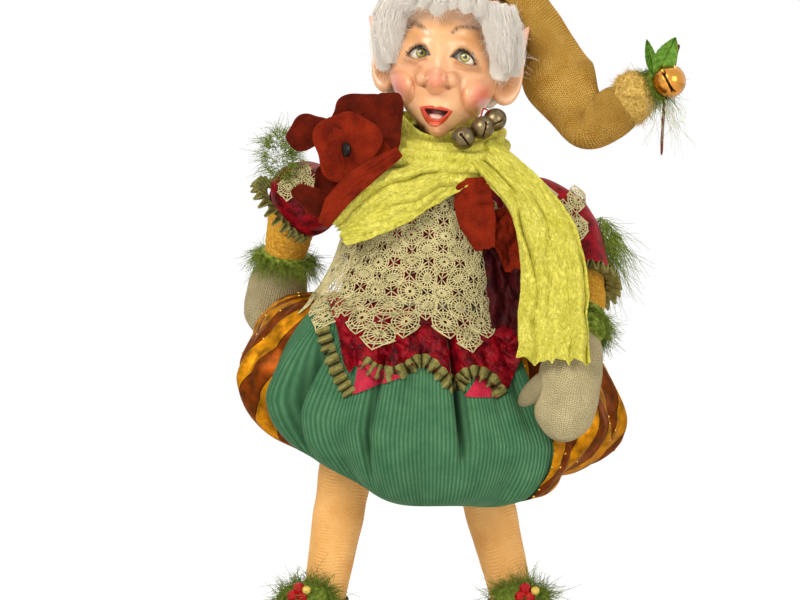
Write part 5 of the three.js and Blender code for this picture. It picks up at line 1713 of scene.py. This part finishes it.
mesh = cloth("knitted_cap", 200, 50, cap_place, closed=True)
cap = make_piece(mesh, "head", cap_knit, ["hat"])
give_wall(cap, 1.2)
TAIL = np.array([(34, 22, 408), (57, 24, 417), (73, 24, 404), (82, 24, 387), (87.5, 22, 369), (97, 17, 351),
                 (105, 12, 338),
                 (117, 8, 342), (126, 5, 349), (132, 3, 354)], float)
TAIL_R = [21, 18, 15.5, 17.5, 24, 19, 15.5, 16, 15.5, 12]


def tail_place(u, v):
    ribs = 0.22 * np.sin(2 * np.pi * 52 * u)
    radius = (spline(TAIL_R, v) + ribs + 0.5 * ring_noise(u, v, 8, 14, 11)) * dome(v, 0.02, 0.06)
    return round_line(u, v, TAIL, radius, radius)


mesh = cloth("knitted_tail", 180, 170, tail_place, closed=True)
tail = bpy.data.objects.new(mesh.name, mesh)
bpy.context.scene.collection.objects.link(tail)
mesh.materials.append(hat_knit)
metres([100, 14, 345])
metres([111, 10, 340])
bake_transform(tail)
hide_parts("hat_tail_end")
print("cap and tail:", len(cap.data.polygons), len(tail.data.polygons), "faces")

# %% Ribbon band, fur tip and moss
band = plain_cloth(
    "brown metallic ribbon", "#7A3F0E", "#C0761F", patch=3, roughness=0.4, sheen=0.2, fibre=0.5,
    grit=0.5, depth=0.4)
mesh = softened("ribbon_band", "hat_band", 1.4, 3)
make_piece(mesh, "head", band, ["hat_band"])
fur = plain_cloth(
    "tan plush fur", "#A18038", "#DCC070", patch=3, roughness=0.9, sheen=0.5, fibre=0.8, grit=0.5,
    depth=0.4)
core = softened("fur_tip", "hat_tip", 1.5, 3)
make_piece(core, "hat_tail", fur, ["hat_tip"])
spots, ways = scattered(core, 1200, np.random.default_rng(8))
yarn_tuft("fur_hairs", spots - ways, ways, "hat_tail", 3.0, 3400, 0.28, 0.2, finish=fur)
core = softened("hat_moss_core", "hat_moss", 1.3, 3)
make_piece(core, "hat_tail", moss, ["hat_moss"])
spots, ways = scattered(core, 300, np.random.default_rng(9))
yarn_tuft("hat_moss_fibres", spots, ways, "hat_tail", 8, 900, 0.35, 0.3, finish=moss)
print("hat band, fur and moss made")

# %% Leaves, twig and wisps
leaf_cloth = plain_cloth(
    "green satin leaf", "#3A641A", "#6C9838", patch=4, roughness=0.45, sheen=0.1, fibre=0.4, grit=0.3,
    depth=0.15)


def leaf_place(foot, tip, half, seed):
    foot, tip = np.array(foot, float), np.array(tip, float)
    ahead = tip - foot
    across = unit(np.cross(ahead, np.array([0, -1.0, 0])))

    def place(u, v):
        wide = half * np.sin(np.pi * v ** 0.8) ** 0.8 * (1 + 0.12 * np.abs((v * 9) % 1 - 0.5))
        s = 2 * u - 1
        ribs = np.abs(np.sin(np.pi * (6 * v + 1.5 * np.abs(s))))
        vein = -1.2 * np.exp(-(s / 0.08) ** 2) - 0.5 * ribs + 2.0 * s ** 2
        curl = 2.5 * np.sin(2.4 * v + seed)
        forward = np.outer(vein + curl, [0, -1.0, 0])
        return foot + ahead * v[:, None] + across * (s * wide)[:, None] + forward
    return place


LEAVES = [((149, -8, 369), (161, -12, 394), 7), ((148, -7, 369), (143, -6, 393), 3.5)]
for number, (foot, tip, half) in enumerate(LEAVES, 1):
    mesh = cloth(f"satin_leaf_{number}", 30, 50, leaf_place(foot, tip, half, number), inside=[150, 60, 380])
    leaf = make_piece(mesh, "hat_tail", leaf_cloth)
    give_wall(leaf, 0.4)
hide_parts("hat_leaves")
bark = plain_cloth(
    "red-brown twig bark", "#4A241F", "#7A4439", patch=2, roughness=0.7, sheen=0.0, fibre=0.4, grit=0.8,
    depth=0.3)
TWIG = [(164, -2, 390), (160, 0, 372), (155, 0, 352), (153, -2, 318)]
TWIG_R = [1, 1.3, 1.2, 0.8]
place = tube_place(TWIG, TWIG_R, TWIG_R, 0.02, 0.02, 0.35, 3, (4, 24))
mesh = cloth("bark_twig", 16, 120, place, closed=True)
make_piece(mesh, "hat_tail", bark, ["hat_twig"])
rng = np.random.default_rng(12)
roots = np.array([155.0, -6, 352]) + rng.normal(size=(60, 3)) * (5, 3, 4)
paths = wisps(roots, unit(rng.normal(size=(60, 3)) * 0.3 + np.array([0.15, 0, -1.0])), 20, 0.25, 0.2, 9, rng)
pale = cloth_finish("pale moss wisps", "#9CA27E", "#D6D8BE", patch=3, fibre=0.3)[0]
make_piece(threads("pale_wisps", paths, 0.26, 0.5), "hat_tail", pale)
print("hat trimmings made")

# %% [markdown]
# ## Bells
# A jingle bell is a hollow ball with a seam round its middle and a slot whose ends are round holes. The
# slot is pushed in from a polar grid, and its pushed-in part is painted near-black as painted shade
# inside the bell.

# %% Jingle bells
gold_metal = painted_finish("polished brass", 0.22, 0.2, metallic=1.0, patch=4, depth=0.02)
antique_metal = painted_finish("antiqued brass", 0.34, 0.1, metallic=1.0, patch=2, depth=0.05)


def bell_mesh(name, centre, radius, face, slot_turn, code):
    face = unit(np.array(face, float))
    across = unit(np.cross(face, [0, 0, 1.0]))
    rise = np.cross(across, face)
    across, rise = (across * math.cos(slot_turn) + rise * math.sin(slot_turn),
                    rise * math.cos(slot_turn) - across * math.sin(slot_turn))

    def place(u, v):
        polar = np.pi * v
        way = ball_ways(u, polar, face, across, rise)
        a, b = way @ across, way @ rise
        front = way @ face > 0
        gap = np.maximum(np.abs(a) - 0.62, 0) ** 2 + b ** 2 < 0.075 ** 2
        gap |= (np.abs(a) - 0.66) ** 2 + b ** 2 < 0.15 ** 2
        gap &= front
        seam = np.exp(-((polar - np.pi / 2) / 0.06) ** 2)
        return np.array(centre, float) + way * (radius * (1 + 0.05 * seam - 0.28 * gap))[:, None]

    mesh = cloth(name, 80, 72, place, closed=True)
    spots = millimetres(mesh_spots(mesh)) - np.array(centre, float)
    # Painted shade: the pushed-in slot is painted near-black, as the hollow inside would look.
    deep = np.linalg.norm(spots, axis=1) < radius * 0.85
    colour = one_colour(len(spots), code)
    paint_mesh(mesh, blended(colour, deep * 1.0, "#150C05"))
    return mesh


mesh = bell_mesh("brass_bell", (157, -10, 366), 10.4, (-0.15, -1, -0.1), 1.1, "#D6953F")
make_piece(mesh, "hat_tail", gold_metal, ["hat_bell"])
for number, centre in enumerate([(24, -46, 329.4), (36.1, -41.8, 335.9), (44.2, -31.4, 340.9)], 1):
    mesh = bell_mesh(f"antique_bell_{number}", centre, 7.4, (0.2, -0.94, -0.28), 0.9 * number, "#75674A")
    make_piece(mesh, "neck_bells", antique_metal, [f"neck_bell_{number}"])
cotton_red = cloth_finish("red cotton cord", "#8E1A1A", "#C03A33", patch=1.5, fibre=0.2)[0]
path = np.array([(30, -43, 336), (35, -40, 343), (37, -37, 348), (41, -34, 346)], float)
mesh = threads("bell_cord", [spline(path, np.linspace(0, 1, 14))], 1.2, 1.0)
make_piece(mesh, "neck_bells", cotton_red)
print("bells made")

# %% [markdown]
# ## Hidden wire and small parts
# Besides the soles and berries, the solids that nothing replaces are the bent wires inside, the peas in
# the bells and the eyelet.

# %% Wire, peas and eyelet
steel = painted_finish("bright steel wire", 0.3, 0.0, metallic=1.0)
enamel = cloth_finish("black enamel", "#0B0B0B", "#1E1C1B", **LACQUER)[0]
for name, solid in frame["nodes"].items():
    if name.endswith(("wire", "pea")) or name == "armature":
        paint_mesh(solid.data, one_colour(len(solid.data.vertices), "#B9BCC0"))
        refinish(name, steel)
    elif name == "flower_eyelet":
        refinish(name, enamel)

print("wire, peas and eyelet finished")
